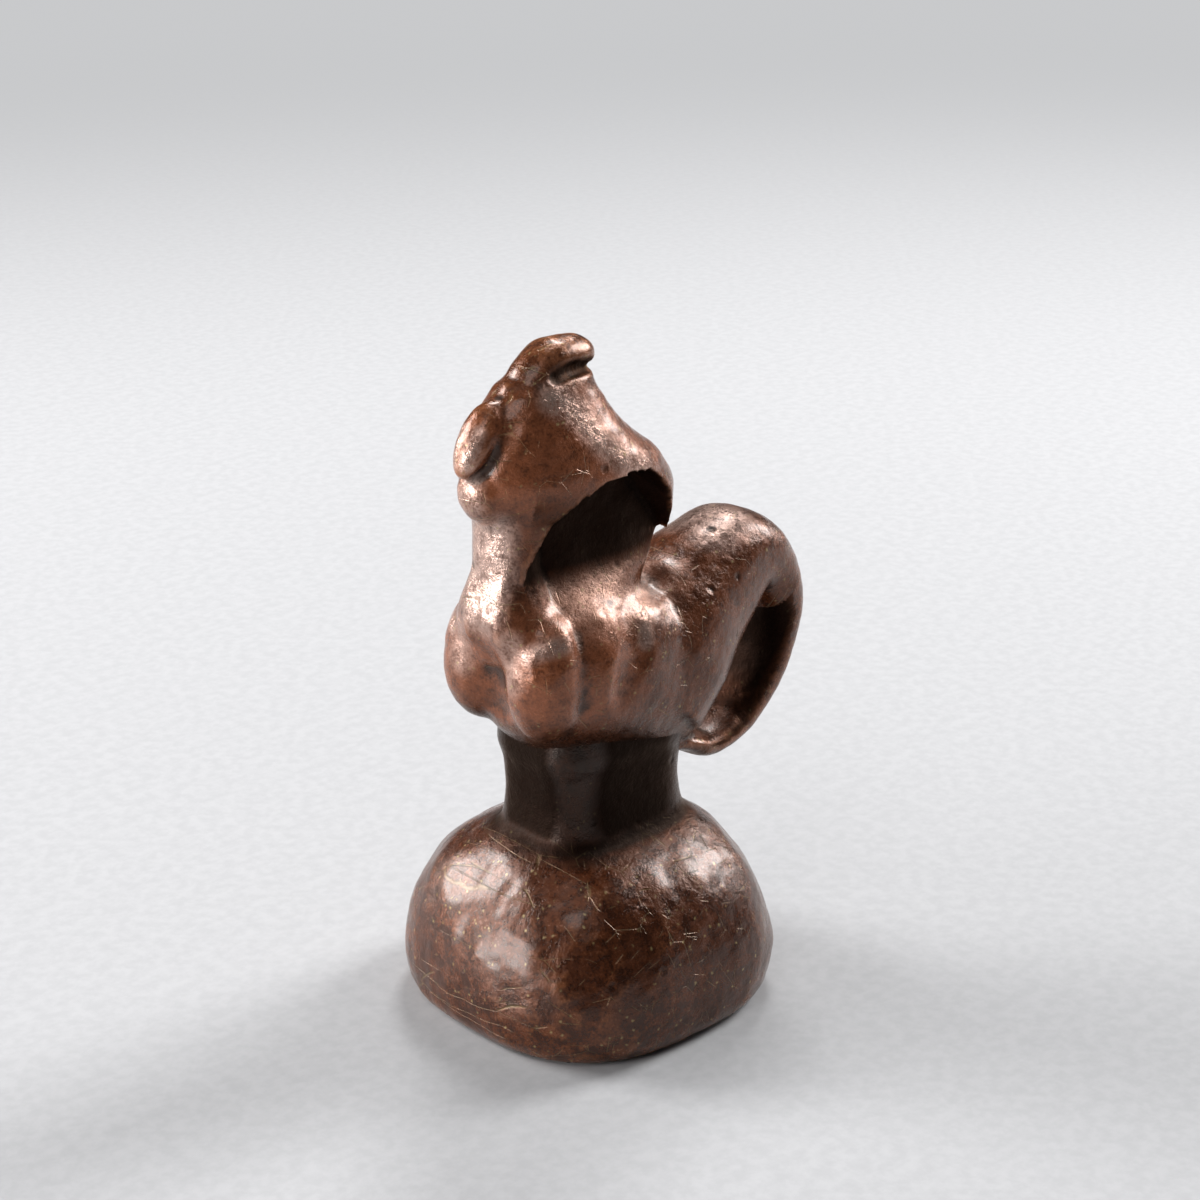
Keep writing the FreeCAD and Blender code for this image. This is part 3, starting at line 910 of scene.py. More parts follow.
@dataclass
class DomedFoot:
    """Base and pillar in one skin: a rounded square dome, and a waisted block on it.

    Attributes:
        plug_radius: Radius of the pocket under the base.
        plug_depth: Depth of the pocket.
        mouth: Chamfer round the pocket's mouth.
        profile: Level sections from the underside to the pillar's top: x, z, half length, half width, power.
        pillar: Middle x, half length and half width of the pillar.
        waist: Height and reach of the groove between dome and pillar.
        unevenness: Height, wavelength and seed of each size of swell.
        foot_edge: Height over which the unevenness dies out towards the flat underside.
        columns: Points round a section.
        spacing: Distance between sections.
    """

    plug_radius: float = 2.62
    plug_depth: float = 3.52
    mouth: float = 0.06
    profile: tuple[Row, ...] = (
        (0.0, 0.0, 10.9, 10.9, 2.7), (0.0, 0.12, 11.35, 11.35, 2.7), (0.0, 0.45, 11.8, 11.8, 2.7),
        (0.0, 1.4, 12.22, 12.22, 2.7), (0.0, 3.0, 12.4, 12.4, 2.7), (0.02, 5.8, 12.05, 12.05, 2.7),
        (0.08, 8.8, 10.95, 10.95, 2.7), (0.2, 11.2, 9.3, 9.15, 2.7), (0.3, 12.5, 8.0, 7.3, 2.8),
        (0.36, 13.2, 7.05, 5.8, 3.1), (0.4, 13.5, 6.7, 5.15, 3.4), (0.4, 14.0, 6.4, 4.82, 3.5),
        (0.4, 15.0, 6.15, 4.55, 3.7), (0.4, 16.5, 6.0, 4.42, 3.8), (0.4, 18.5, 6.12, 4.5, 3.9),
        (0.4, 20.3, 6.5, 4.85, 3.9), (0.4, 22.5, 6.3, 4.7, 3.6))
    pillar: Row = (0.4, 6.2, 4.6)
    waist: tuple[float, float] = (13.6, 1.1)
    unevenness: tuple[Row, ...] = ((0.085, 8.0, 11), (0.04, 2.7, 12), (0.012, 1.1, 13))
    foot_edge: float = 1.6
    columns: int = 288
    spacing: float = 0.16

    def underside(self) -> np.ndarray:
        """Sections from the pocket's middle up its wall and out over the flat underside.

        Returns:
            Rows in the profile's columns.
        """
        hole, deep, mouth = self.plug_radius, self.plug_depth, self.plug_radius + self.mouth
        foot, power = self.profile[0][2], self.profile[0][4]
        pocket = [(deep, 0.02), (deep, hole * 0.6), (deep, hole), (deep * 0.5, hole), (self.mouth, hole)]
        rows = [(0.0, z, size, size, 2.0) for z, size in pocket]
        for share in np.linspace(0.0, 1.0, 26)[:-1]:
            size = mouth + (foot - mouth) * share
            rows.append((0.0, 0.0, size, size, 2.0 + (power - 2.0) * share))
        return np.array(rows)

    def build(self) -> bpy.types.Object:
        """Build the skin.

        Point(s, t) = (x(s) + a(s) c(t), b(s) s(t), z(s)), from the pocket's middle over the underside and up.

        Returns:
            The finished piece.
        """
        side = np.array(self.profile)
        travel = np.concatenate([[0.0], np.cumsum(np.hypot(np.diff(side[:, 2]), np.diff(side[:, 1])))])
        wanted = np.linspace(0.0, travel[-1], int(travel[-1] / self.spacing))
        outer = monotone(travel, side, wanted)
        cap = outer[-1] * np.array([1.0, 1.0, 0.5, 0.5, 1.0])
        rows = np.concatenate([self.underside(), outer, cap[None]])
        cosine, sine = superellipse(rows[:, 4], self.columns)
        grid = np.stack([rows[:, 0:1] + rows[:, 2:3] * cosine, rows[:, 3:4] * sine,
                         np.broadcast_to(rows[:, 1:2], cosine.shape)], axis=-1)
        skin = WaxSkin("base_and_pillar")
        skin.mesh = grid_surface(grid).to_mesh(skin.name)
        skin.read()
        level, reach = self.waist
        height = skin.points[:, 2]
        lifted = falloff(np.clip(self.foot_edge - height, 0.0, self.foot_edge), self.foot_edge)
        skin.uneven(self.unevenness, lifted * np.maximum(ramp(height, level, level - 1.5), 0.2))
        skin.note_relief()
        x, y, height = skin.points.T
        block = ramp(height, level - 0.4, level + 0.8)
        middle, long, wide = self.pillar
        corner = ramp(np.abs(x - middle) / long + np.abs(y) / wide, 1.45, 1.65)
        groove = falloff(height - level, reach)
        # painted shade: the pillar and the waist groove are darkened, all but the pillar's left corner, which
        # is left bright as if lit
        skin.note("painted_hollow_shade", np.maximum(0.85 * groove, 0.95 * block * (1.0 - corner)))
        # painted shade under the bird: the whole pillar
        skin.note("painted_under_shade", block)
        for name in ("dust_and_top_light", "rubbed", "handled", "painted_highlight"):
            skin.note(name, np.zeros(len(height)))
        return skin.piece()


@dataclass(frozen=True)
class TailRule:
    """Sections of the tail: up the limb along the straight side of its D-shaped eye, then round the bow.

    Attributes:
        low: Lower corner of the eye, x and z.
        chord: Length of the eye's straight side.
        depth: Depth of the eye.
        slope: Degrees that the straight side rises.
        limb: Share of the chord, thickness and half width of each section up the limb.
        bow: Angle round the bow, thickness and half width of each section.
        corner: Thickness and half width at the eye's upper corner.
        corner_lift: Degrees that the section at the upper corner leans over.
        power: Exponent of the sections.
    """

    low: tuple[float, float] = (8.0, 18.6)
    chord: float = 11.2
    depth: float = 4.0
    slope: float = 49.0
    limb: tuple[Row, ...] = (
        (0.0, 11.6, 5.9), (0.3, 12.0, 6.0), (0.55, 11.3, 5.4), (0.8, 9.8, 4.7))
    bow: tuple[Row, ...] = (
        (0.0, 4.9, 3.4), (30.0, 3.9, 3.2), (60.0, 3.2, 3.0), (90.0, 2.9, 3.0), (120.0, 2.5, 3.1),
        (150.0, 2.1, 3.4), (180.0, 2.0, 3.7))
    corner: tuple[float, float] = (6.7, 3.8)
    corner_lift: float = 50.0
    power: float = 2.35

    def inner(self, share: float, drop: float = 0.0) -> tuple[float, float]:
        """Point of the eye's edge.

        Args:
            share: Share of the way up the straight side.
            drop: Distance off it, into the eye.

        Returns:
            Its x and z.
        """
        t = math.radians(self.slope)
        along = self.chord * share
        return (self.low[0] + along * math.cos(t) + drop * math.sin(t),
                self.low[1] + along * math.sin(t) - drop * math.cos(t))

    def row(self, inner: tuple[float, float], angle: float, thick: float, wide: float) -> Row:
        """Row of the sweep's table for a section that starts at the eye's edge.

        Args:
            inner: Its point on the edge.
            angle: Direction in which it reaches out, in degrees.
            thick: Its thickness.
            wide: Its half width.

        Returns:
            The row.
        """
        across, rise, half = math.cos(math.radians(angle)), math.sin(math.radians(angle)), thick / 2.0
        return inner[0] + across * half, inner[1] + rise * half, across, rise, half, wide, self.power

    def surface(self) -> Surface:
        """Carry the sections round the eye: inner edge + outward (a + a c(t)) + Y b s(t).

        Returns:
            The closed surface of the tail.
        """
        rows = [self.row(self.inner(share), self.slope + 90.0, thick, wide)
                for share, thick, wide in self.limb]
        rows.append(self.row(self.inner(1.0), self.slope + self.corner_lift, *self.corner))
        for angle, thick, wide in self.bow:
            t = math.radians(angle)
            point = self.inner((1.0 + math.cos(t)) / 2.0, self.depth * math.sin(t))
            lean = math.degrees(math.atan2(math.sin(t) / self.depth, math.cos(t) * 2.0 / self.chord))
            rows.append(self.row(point, self.slope - lean, thick, wide))
        x, z, across, rise = rows[-1][:4]
        rows.append((x - 3.0, z + 1.2, across, rise, 2.2, 3.6, self.power))
        return swept_surface(np.array(rows), spacing=0.22)


@dataclass
class BirdForm:
    """Bird in one skin: body, lobes, neck, hood, topknot, bill and tail loop run into each other.

    Attributes:
        body: Upright sections from breast to rump: x, z, half height, half width, power.
        neck: Sections up the neck: x, z, across x, across z, half length, half width, power.
        strap: Sections of the throat, a rounded bar from the bill down to the breast.
        hood: Level sections of the head: x, z, half length, half width, power.
        rim: Height of the hood's lower edge along X.
        knot: Sections of the topknot.
        tail: Rule of the tail's sections round its eye.
        ridges: Ridges worked into the fused skin.
        cuts: Grooves worked into it.
        painted_highlights: Painted highlights, laid on as places that hands have worn to bare metal, with the
            share of bare metal as depth.
        bill: Middle, half sizes and tilt of the bill's upper and lower lobe.
        side_lobes: Middle and half sizes of the left breast lobe and wing lobe.
        melts: Fillets at the cheek, the jaw and the brow.
        tail_root: Where the tail's fillet into the rump lies.
        unevenness: Height, wavelength and seed of each size of swell.
        wrinkled: Front of the throat and breast, which is drawn into fine upright wrinkles.
        back: Where settled grit and painted top light lie on what faces up.
        chest: Where hands have worn the patina thin.
        crown: Middle of the topknot, which is rubbed to copper.
        voxel: Edge length of the fused skin's quads.
    """

    body: tuple[Row, ...] = (
        (-8.7, 27.0, 0.6, 0.5, 2.2), (-8.5, 27.0, 2.4, 2.4, 2.2), (-7.9, 27.0, 4.0, 3.9, 2.2),
        (-6.8, 26.9, 5.3, 5.1, 2.2), (-5.3, 26.7, 6.2, 5.9, 2.2), (-3.4, 26.5, 6.6, 6.3, 2.2),
        (0.0, 25.9, 6.8, 6.3, 2.3), (3.5, 24.8, 6.6, 5.9, 2.5), (6.3, 23.4, 5.9, 4.9, 2.5),
        (8.0, 22.0, 4.6, 3.7, 2.3))
    neck: tuple[Row, ...] = (
        (-2.6, 27.0, 1.0, -0.05, 5.8, 4.6, 2.2), (-2.4, 31.0, 1.0, -0.03, 6.4, 4.4, 2.2),
        (-1.6, 32.3, 1.0, 0.0, 6.6, 3.5, 2.2), (-1.1, 33.6, 1.0, 0.0, 6.7, 2.6, 2.2),
        (-0.9, 35.0, 1.0, 0.0, 7.1, 2.3, 2.4), (-0.9, 37.0, 1.0, 0.0, 7.2, 2.0, 2.4),
        (-1.6, 39.0, 1.0, 0.0, 6.8, 1.9, 2.2), (-2.6, 41.0, 1.0, 0.0, 6.0, 1.9, 2.2))
    strap: tuple[Row, ...] = (
        (-7.7, 39.0, 1.0, 0.0, 1.8, 2.4, 2.8), (-7.6, 36.4, 1.0, 0.0, 1.5, 2.2, 3.0),
        (-7.7, 34.4, 1.0, 0.1, 1.9, 2.4, 2.8), (-7.8, 32.6, 1.0, 0.15, 2.5, 3.3, 2.4),
        (-7.6, 30.6, 1.0, 0.1, 2.8, 4.0, 2.2), (-6.8, 27.6, 1.0, 0.0, 2.4, 3.2, 2.2))
    hood: tuple[Row, ...] = (
        (-1.6, 34.0, 8.0, 4.4, 2.2), (-1.3, 38.0, 8.1, 4.7, 2.2), (-2.4, 40.4, 7.9, 4.8, 2.2),
        (-3.7, 43.0, 6.3, 4.2, 2.2), (-4.3, 45.0, 5.1, 3.4, 2.2), (-4.3, 46.3, 4.2, 2.8, 2.2),
        (-4.0, 47.5, 3.4, 2.2, 2.2), (-3.9, 48.0, 2.0, 1.3, 2.2))
    rim: tuple[tuple[float, float], ...] = (
        (-12.0, 31.0), (-9.6, 31.4), (-8.6, 33.4), (-8.2, 35.2), (-6.65, 38.3), (-4.8, 39.7), (-2.7, 40.5),
        (0.0, 40.7), (2.1, 40.3), (3.6, 39.2), (4.7, 37.8), (5.4, 35.8), (5.9, 34.4), (9.0, 34.0))
    knot: tuple[Row, ...] = (
        (-6.3, 45.8, -0.6, 0.8, 0.6, 0.6, 2.0), (-5.6, 46.6, -0.5, 0.85, 1.9, 1.9, 2.0),
        (-4.4, 47.8, -0.35, 0.93, 1.7, 2.0, 2.0), (-3.0, 48.6, -0.15, 0.98, 1.3, 1.9, 2.0),
        (-1.5, 48.6, 0.2, 0.97, 1.1, 1.6, 2.0), (-0.5, 48.2, 0.5, 0.85, 0.8, 1.1, 2.0),
        (-0.2, 48.0, 0.6, 0.8, 0.2, 0.3, 2.0))
    tail: TailRule = TailRule()
    ridges: tuple[WaxMark, ...] = (WaxMark(((-3.52, -4.97, 31.33),), 0.9, 0.18),)
    cuts: tuple[WaxMark, ...] = (
        WaxMark(((-10.2, -0.4, 30.2), (-10.0, -0.5, 28.2), (-9.4, -0.4, 26.2), (-8.8, 0.0, 24.4)),
                1.7, -0.34, False),
        WaxMark(((-5.6, -5.2, 30.6), (-5.9, -5.8, 29.0), (-5.9, -6.0, 27.5), (-5.8, -5.9, 25.6)), 1.2, -0.16),
        WaxMark(((4.4, -1.9, 31.4), (1.04, -4.16, 31.7), (-0.61, -5.08, 30.93), (-0.87, -5.86, 29.75),
                 (-0.92, -6.31, 28.57), (-1.78, -6.73, 27.31), (-2.51, -6.9, 26.09)), 2.0, -0.42),
        WaxMark(((-8.7, -2.3, 45.4), (-9.4, -2.1, 44.2), (-10.1, -1.6, 43.0), (-10.8, -0.8, 41.9)),
                0.9, -0.15),
        WaxMark(((-7.95, -0.03, 46.85), (-7.4, -0.9, 47.2), (-6.75, -1.46, 47.33), (-6.08, -1.89, 47.35)),
                0.7, -0.14),
        WaxMark(((-4.6, -1.8, 47.8), (-3.9, -1.8, 48.0), (-2.7, -1.6, 48.0), (-1.5, -1.1, 47.7),
                 (-1.0, 0.0, 47.6)), 0.85, -0.36))
    # painted highlights along the throat, bill, breast, tail root, tail top and hood ridge
    painted_highlights: tuple[WaxMark, ...] = (
        WaxMark(((-9.2, -0.8, 38.0), (-9.4, -0.8, 35.0), (-9.9, -0.6, 32.0)), 2.3, 0.9),
        WaxMark(((-11.0, -0.2, 41.2), (-10.9, -0.4, 40.0)), 1.5, 0.7),
        WaxMark(((-10.9, -1.0, 45.0), (-11.5, -0.6, 42.9)), 1.0, 0.9),
        WaxMark(((-9.8, -2.6, 30.2), (-9.8, -2.6, 27.6)), 1.7, 0.55),
        WaxMark(((-7.1, -5.3, 30.4), (-8.4, -4.8, 30.2), (-9.3, -3.7, 29.6)), 1.0, 0.7),
        WaxMark(((3.4, -2.6, 31.3), (0.6, -4.9, 30.3), (0.2, -5.6, 28.8)), 1.0, 0.7),
        WaxMark(((11.0, -1.6, 32.6), (13.0, -1.0, 33.2)), 2.6, 0.8),
        WaxMark(((-5.4, -2.5, 46.5), (-3.8, -3.2, 45.4), (-2.6, -3.8, 43.6), (-0.9, -4.3, 41.8),
                 (1.4, -4.4, 40.8)), 1.7, 0.75))
    bill: tuple[tuple[Row, Row, float], ...] = (
        ((-9.9, 0.0, 44.2), (2.9, 1.5, 1.3), 57.0), ((-9.5, 0.0, 40.3), (2.1, 2.0, 1.5), 96.0))
    side_lobes: tuple[tuple[Row, Row], ...] = (
        ((-6.9, 3.2, 27.2), (2.9, 2.9, 4.8)), ((-3.6, 3.1, 26.9), (2.7, 3.4, 4.6)))
    melts: tuple[Zone, ...] = (
        Zone((-8.6, 31.0), 4.0, 0.5), Zone((-8.8, 39.2), 2.8, 0.8), Zone((-8.8, 45.4), 2.6, 0.5))
    tail_root: Patch = Patch((5.5, 26.0), (4.0, 8.0))
    unevenness: tuple[Row, ...] = ((0.05, 7.0, 21), (0.0225, 2.6, 22), (0.01, 1.1, 23))
    wrinkled: Patch = Patch((-10.0, 31.0), (6.0, 9.0))
    back: Patch = Patch((-1.0, 32.3), (8.5, 3.5))
    chest: Zone = Zone((-5.5, 28.0), 9.0, 1.3)
    crown: tuple[float, float, float] = (-2.5, 0.0, 49.0)
    voxel: float = 0.18

    def body_surface(self) -> Surface:
        """Body: upright sections carried from the breast to the rump.

        Returns:
            The closed surface.
        """
        rows = [(x, z, 0.0, 1.0, tall, wide, power) for x, z, tall, wide, power in self.body]
        return swept_surface(np.array(rows))

    def hood_surface(self, columns: int = 192, levels: int = 70) -> Surface:
        """Hood, open below: a wall over its curved rim, closed inside by a shallow lid.

        Point(v, t) lies on the level section at z = rim(x) + (top - rim(x)) v.

        Args:
            columns: Points round the hood.
            levels: Rings from the rim to the top.

        Returns:
            The closed surface.
        """
        table, rim = np.array(self.hood), np.array(self.rim)
        top = table[-1, 1]
        power, first_guess, rounds = 2.2, 38.0, 30
        cosine, sine = superellipse(np.full(1, power), columns)
        edge = np.full((1, columns), first_guess)
        for _ in range(rounds):
            read = monotone(table[:, 1], table, edge.ravel())
            x = read[:, 0] + read[:, 2] * cosine[0]
            edge = 0.5 * edge + 0.5 * np.clip(np.interp(x, rim[:, 0], rim[:, 1]), table[0, 1], top)[None]
        level = edge + (top - edge) * np.linspace(0.0, 1.0, levels)[:, None]
        read = monotone(table[:, 1], table, level.ravel()).reshape(levels, columns, 5)
        wall = np.stack([read[..., 0] + read[..., 2] * cosine, read[..., 3] * sine, level], axis=-1)
        drop = np.minimum(np.interp(wall[0, :, 0], rim[:, 0], rim[:, 1]), edge[0]) - edge[0]
        skirt = wall[0:1] + drop[None, :, None] * np.array([0.0, 0.0, 1.0])
        middle = np.array([-2.0, 0.0, 43.2])
        inward = np.array([0.97, 0.75, 0.45, 0.2, 0.08, 0.02])[:, None, None]
        return grid_surface(np.concatenate([skirt + (middle - skirt) * inward, skirt, wall]))

    def lobes(self) -> list[Surface]:
        """Two lobes of the bill, and the breast and wing lobes of both sides.

        Returns:
            Their closed surfaces.
        """
        made = [egg_surface(middle, radii, tilt) for middle, radii, tilt in self.bill]
        for side in Side:
            made += [egg_surface((x, y * side.value, z), radii) for (x, y, z), radii in self.side_lobes]
        return made

    def find_hollow_shade(self, skin: WaxSkin) -> np.ndarray:
        """Painted shade in the hollows: how deep each point lies under the hood, under its roof, in the
        topknot's notch and inside the tail's eye, from 0 to 1.

        Args:
            skin: The finished skin.

        Returns:
            One number per point.
        """
        x, y, z = skin.points.T
        rim = np.array(self.rim)
        edge = np.interp(x, rim[:, 0], rim[:, 1])
        under = ramp(z, edge + 0.1, edge - 0.7)
        hollow = under * ramp(z, 32.6, 34.4) * (x > -8.2) * (np.abs(y) < 4.6)
        # painted shade on the faces under the hood that look down
        roof = np.clip(-2.0 * skin.normals[:, 2], 0.0, 1.0) * (z > 35.0) * (np.abs(x) < 8.0)
        cosine, sine = math.cos(math.radians(self.tail.slope)), math.sin(math.radians(self.tail.slope))
        middle = self.tail.inner(0.5, self.tail.depth * 0.42)
        half_length, half_depth = self.tail.chord * 0.62, self.tail.depth * 0.75
        along = (x - middle[0]) * cosine + (z - middle[1]) * sine
        across = (x - middle[0]) * sine - (z - middle[1]) * cosine
        away = np.hypot(along / half_length, across / half_depth)
        facing = -(skin.normals[:, 0] * sine - skin.normals[:, 2] * cosine) * across
        # painted shade inside the tail's eye, left off the faces that look up so that these stay lit
        eye = ramp(away, 1.25, 0.9) * ramp(np.abs(y), 4.2, 3.0) * (facing > 0.0)
        eye *= np.clip(2.2 - 2.0 * skin.normals[:, 2], 0.0, 1.0)
        # painted shade in the topknot's notch
        notch = 0.95 * falloff(distance_to_path(skin.points, np.array(self.cuts[-1].path)), 1.1)
        return np.max([hollow, roof, eye, notch], axis=0)

    def soften(self, skin: WaxSkin) -> None:
        """Fillet the creases between the fused forms: the neck's foot, the tail's root and the face first,
        and then the flanks as a whole.

        Args:
            skin: The fused skin.
        """
        x, _, z = skin.points.T
        flare = falloff(z - 32.3, 2.2) * (x > -9.5) * ramp(x, 8.5, 4.5)
        fillets = [flare, 0.8 * self.tail_root.weight(skin.points)]
        fillets += [zone.weight(skin.points) for zone in self.melts]
        skin.melt(26, np.max(fillets, axis=0))
        skin.melt(50, 0.5 * falloff(z - 26.5, 5.8) * ramp(x, 7.0, 1.0))

    def note_wear_and_painted_light(self, skin: WaxSkin) -> None:
        """Store where the skin has painted shade in the hollows, painted highlights, painted shade
        underneath, handling, settled grit with painted top light, and rubbing.

        Args:
            skin: The finished skin.
        """
        skin.note_relief()
        skin.find_normals()
        up, z = skin.normals[:, 2], skin.points[:, 2]
        head = 0.9 * ramp(z, 38.0, 41.0) * ramp(z, 48.5, 45.5)
        crown = np.linalg.norm(skin.points - np.array(self.crown), axis=1)
        # painted shade in the hollows, the eye and the notch
        skin.note("painted_hollow_shade", self.find_hollow_shade(skin))
        # painted highlights
        skin.note("painted_highlight", np.max([spot.push(skin.points) for spot in self.painted_highlights], axis=0))
        # painted shade on the faces low on the bird that look down
        skin.note("painted_under_shade", 0.9 * ramp(up, -0.25, -0.65) * (z < 25.0))
        skin.note("handled", np.clip(np.maximum(head, self.chest.weight(skin.points)), 0.25, 1.0))
        # settled grit and painted top light, growing as the surface faces up
        skin.note("dust_and_top_light", np.clip(1.6 * self.back.weight(skin.points) * np.maximum(up, 0.0), 0.0, 1.0))
        skin.note("rubbed", 0.9 * falloff(crown, 4.0))

    def build(self) -> bpy.types.Object:
        """Fuse, rub and mark the bird.

        Returns:
            The finished piece.
        """
        surfaces = [self.body_surface(), self.hood_surface(), self.tail.surface(), *self.lobes()]
        surfaces += [swept_surface(np.array(rows)) for rows in (self.neck, self.strap, self.knot)]
        skin = WaxSkin("bird")
        skin.fuse(surfaces, self.voxel)
        skin.rub(6)
        self.soften(skin)
        skin.mark(self.ridges)
        skin.mark(self.cuts)
        skin.uneven(self.unevenness)
        skin.rub(6)
        skin.find_normals()
        upright, length, seed, depth = np.array([1.0, 1.0, 0.22]), 1.0, 31, 0.022
        height = depth * self.wrinkled.weight(skin.points) * ripple(skin.points * upright, length, seed)
        skin.points = skin.points + skin.normals * height[:, None]
        self.note_wear_and_painted_light(skin)
        return skin.piece()


# Studio


def backwards(azimuth: float, elevation: float) -> Vector:
    """Direction from the object to what looks at it, from degrees round it and above the horizon."""
    a, e = math.radians(azimuth), math.radians(elevation)
    return Vector((math.sin(a) * math.cos(e), -math.cos(a) * math.cos(e), math.sin(e)))


def stand(name: str, data: bpy.types.ID, place: Vector, back: Vector) -> bpy.types.Object:
    """Set up a camera or lamp.

    Args:
        name: Its name.
        data: Its data.
        place: Where it stands.
        back: Direction that it faces away from.

    Returns:
        Its object.
    """
    obj = bpy.data.objects.new(name, data)
    obj.location = place
    obj.rotation_mode = "QUATERNION"
    obj.rotation_quaternion = (-back).to_track_quat("-Z", "Y")
    link(obj)
    return obj


@dataclass(frozen=True)
class PhotoCamera:
    """Camera at the photograph's viewing angle.

    Attributes:
        azimuth: Degrees round the object.
        elevation: Degrees above the horizon.
        distance: Distance to the aim, in the drawing's millimetres.
        aim_height: Height of the aim.
        focal_pixels: Focal length in pixels of the photograph.
        aim_pixel: Where the aim falls in the photograph.
        sensor: Width of the sensor, in its own millimetres.
    """

    azimuth: float = -43.0
    elevation: float = 23.0
    distance: float = 190.0
    aim_height: float = 25.0
    focal_pixels: float = 2679.0
    aim_pixel: tuple[float, float] = (588.0, 668.0)
    sensor: float = 36.0

    def build(self) -> bpy.types.Object:
        """Place the camera: aim plus distance along the backward direction.

        Returns:
            The camera.
        """
        back = backwards(self.azimuth, self.elevation)
        data = bpy.data.cameras.new("photo_camera")
        data.sensor_width = self.sensor
        data.lens = self.sensor * self.focal_pixels / IMAGE_SIZE
        data.shift_x = 0.5 - self.aim_pixel[0] / IMAGE_SIZE
        data.shift_y = self.aim_pixel[1] / IMAGE_SIZE - 0.5
        data.clip_start, data.clip_end = 0.005, 10.0
        place = (Vector((0.0, 0.0, self.aim_height)) + back * self.distance) * CASTING_SCALE
        camera = stand("photo_camera", data, place, back)
        bpy.context.scene.camera = camera
        return camera


@dataclass(frozen=True)
class SoftBox:
    """Rectangular lamp that looks at the object.

    Attributes:
        name: Name of the lamp.
        azimuth: Degrees round the object, as the camera's.
        elevation: Degrees above the horizon.
        distance: Metres from the object.
        size: Width and height in metres.
        power: Watts.
        aim_height: Height that it is turned to, in metres.
    """

    name: str
    azimuth: float
    elevation: float
    distance: float
    size: tuple[float, float]
    power: float
    aim_height: float = 0.025

    def build(self) -> bpy.types.Object:
        """Place the lamp.

        Returns:
            The lamp.
        """
        back = backwards(self.azimuth, self.elevation)
        data = bpy.data.lights.new(self.name, "AREA")
        data.shape = "RECTANGLE"
        data.size, data.size_y = self.size
        data.energy = self.power
        lamp = stand(self.name, data, Vector((0.0, 0.0, self.aim_height)) + back * self.distance, back)
        lamp.visible_camera = False
        return lamp


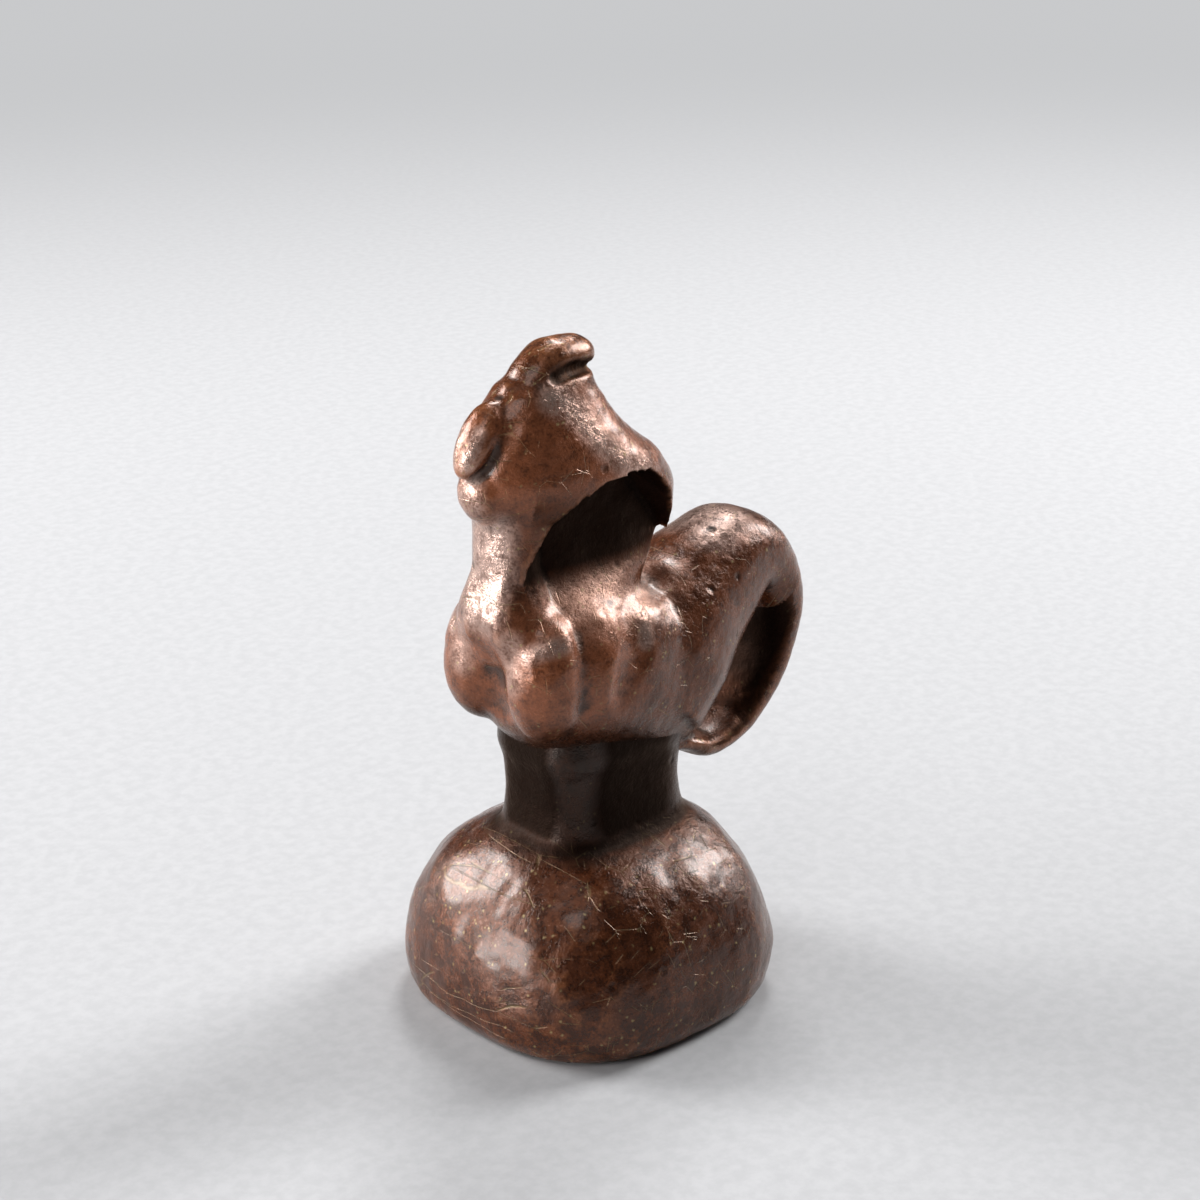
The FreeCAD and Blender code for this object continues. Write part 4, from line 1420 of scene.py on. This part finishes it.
@dataclass(frozen=True)
class Studio:
    """Plain pale floor, soft light and a pale surround.

    Attributes:
        floor_half: Half width of the floor, in metres.
        floor_colour: Colour of the floor.
        grain_colour: Colour of its grain.
        fade: Metres from the object where the floor starts and ends its fade into the backdrop.
        surround: Strength of the surround as a light.
        backdrop: Its strength as the camera sees it.
        backdrop_colour: Colour of the surround.
        lamps: Soft boxes.
    """

    floor_half: float = 2.0
    floor_colour: Colour = (0.45, 0.45, 0.46, 1.0)
    grain_colour: Colour = (0.41, 0.41, 0.42, 1.0)
    fade: tuple[float, float] = (0.12, 0.4)
    surround: float = 0.06
    backdrop: float = 0.6
    backdrop_colour: Colour = (0.97, 0.98, 1.0, 1.0)
    lamps: tuple[SoftBox, ...] = (
        SoftBox("left_box", -150.0, 23.0, 0.44, (0.18, 0.20), 2.2),
        SoftBox("low_box", -112.0, 6.0, 0.40, (0.22, 0.09), 1.2),
        SoftBox("right_box", 80.0, 30.0, 0.5, (0.15, 0.30), 2.9),
        SoftBox("high_box", 129.0, 51.0, 0.5, (0.12, 0.12), 1.4),
        SoftBox("key_box", -66.0, 52.0, 0.17, (0.07, 0.07), 0.06))

    def build(self) -> None:
        """Lay the floor, light the world and place the lamps."""
        half = self.floor_half
        mesh = bpy.data.meshes.new("floor")
        corners = [(-half, -half, 0.0), (half, -half, 0.0), (half, half, 0.0), (-half, half, 0.0)]
        mesh.from_pydata(corners, [], [(0, 1, 2, 3)])
        floor = bpy.data.objects.new("floor", mesh)
        link(floor)
        floor.data.materials.append(self._floor_material())
        world = bpy.data.worlds.new("surround")
        bpy.context.scene.world = world
        world.use_nodes = True
        g = Graph(world.node_tree)
        g.tree.nodes.clear()
        seen = g.add("ShaderNodeLightPath").outputs["Is Camera Ray"]
        strength = g.math("ADD", self.surround, g.times(seen, self.backdrop - self.surround))
        shade = g.add("ShaderNodeBackground", {"Color": self.backdrop_colour, "Strength": strength})
        g.add("ShaderNodeOutputWorld", {"Surface": shade.outputs[0]})
        for lamp in self.lamps:
            lamp.build()
        bpy.context.scene.view_settings.view_transform = "Standard"

    def _floor_material(self) -> bpy.types.Material:
        """Pale matt paper with a faint grain, which fades into the backdrop away from the object.

        Returns:
            The material.
        """
        material, g, place = start_material("pale_paper")
        grain = g.noise(place, 900.0, 4.0, 0.6)
        shade = g.mix(g.window(grain, 0.3, 0.7), self.grain_colour, self.floor_colour)
        shader = g.add("ShaderNodeBsdfPrincipled", {"Base Color": shade, "Roughness": 0.85})
        reach = g.add("ShaderNodeVectorMath", {0: place}, operation="LENGTH").outputs["Value"]
        seen = g.add("ShaderNodeLightPath").outputs["Is Camera Ray"]
        far = g.times(seen, g.window(reach, *self.fade))
        backdrop = g.add("ShaderNodeEmission", {"Color": self.backdrop_colour, "Strength": self.backdrop})
        fade = g.add("ShaderNodeMixShader", {0: far, 1: shader.outputs[0], 2: backdrop.outputs[0]})
        g.add("ShaderNodeOutputMaterial", {"Surface": fade.outputs[0]})
        return material


# Assembly


def dress(piece: bpy.types.Object, material: bpy.types.Material, nodes: tuple[str, ...]) -> None:
    """Give a piece its material, its body and the nodes that it stands for.

    Args:
        piece: The finished piece.
        material: Its finish.
        nodes: Nodes that it replaces.
    """
    piece.data.materials.clear()
    piece.data.materials.append(material)
    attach(piece, "root")
    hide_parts(*nodes)
    LOG.info("%s: %d faces, for %s", piece.name, len(piece.data.polygons), ", ".join(nodes))


def main() -> None:
    """Build the weight, its studio and its camera."""
    logging.basicConfig(level=logging.INFO, format="%(name)s: %(message)s")
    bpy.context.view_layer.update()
    effects = SurfaceEffects()
    bronze = BronzeFinish().build(effects)
    lead = LeadFinish().build(effects)
    dress(DomedFoot().build(), bronze, ("base", "pillar"))
    dress(BirdForm().build(), bronze, (
        "body", "neck", "hood", "topknot", "upper_bill", "lower_bill", "tail_loop",
        "left_breast_lobe", "right_breast_lobe", "left_wing_lobe", "right_wing_lobe"))
    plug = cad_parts["adjusting_plug"]
    plug.data.materials.clear()
    plug.data.materials.append(lead)
    LOG.info("adjusting_plug: carried over, in lead")
    Studio().build()
    PhotoCamera().build()


if __name__ == "__main__":
    main()
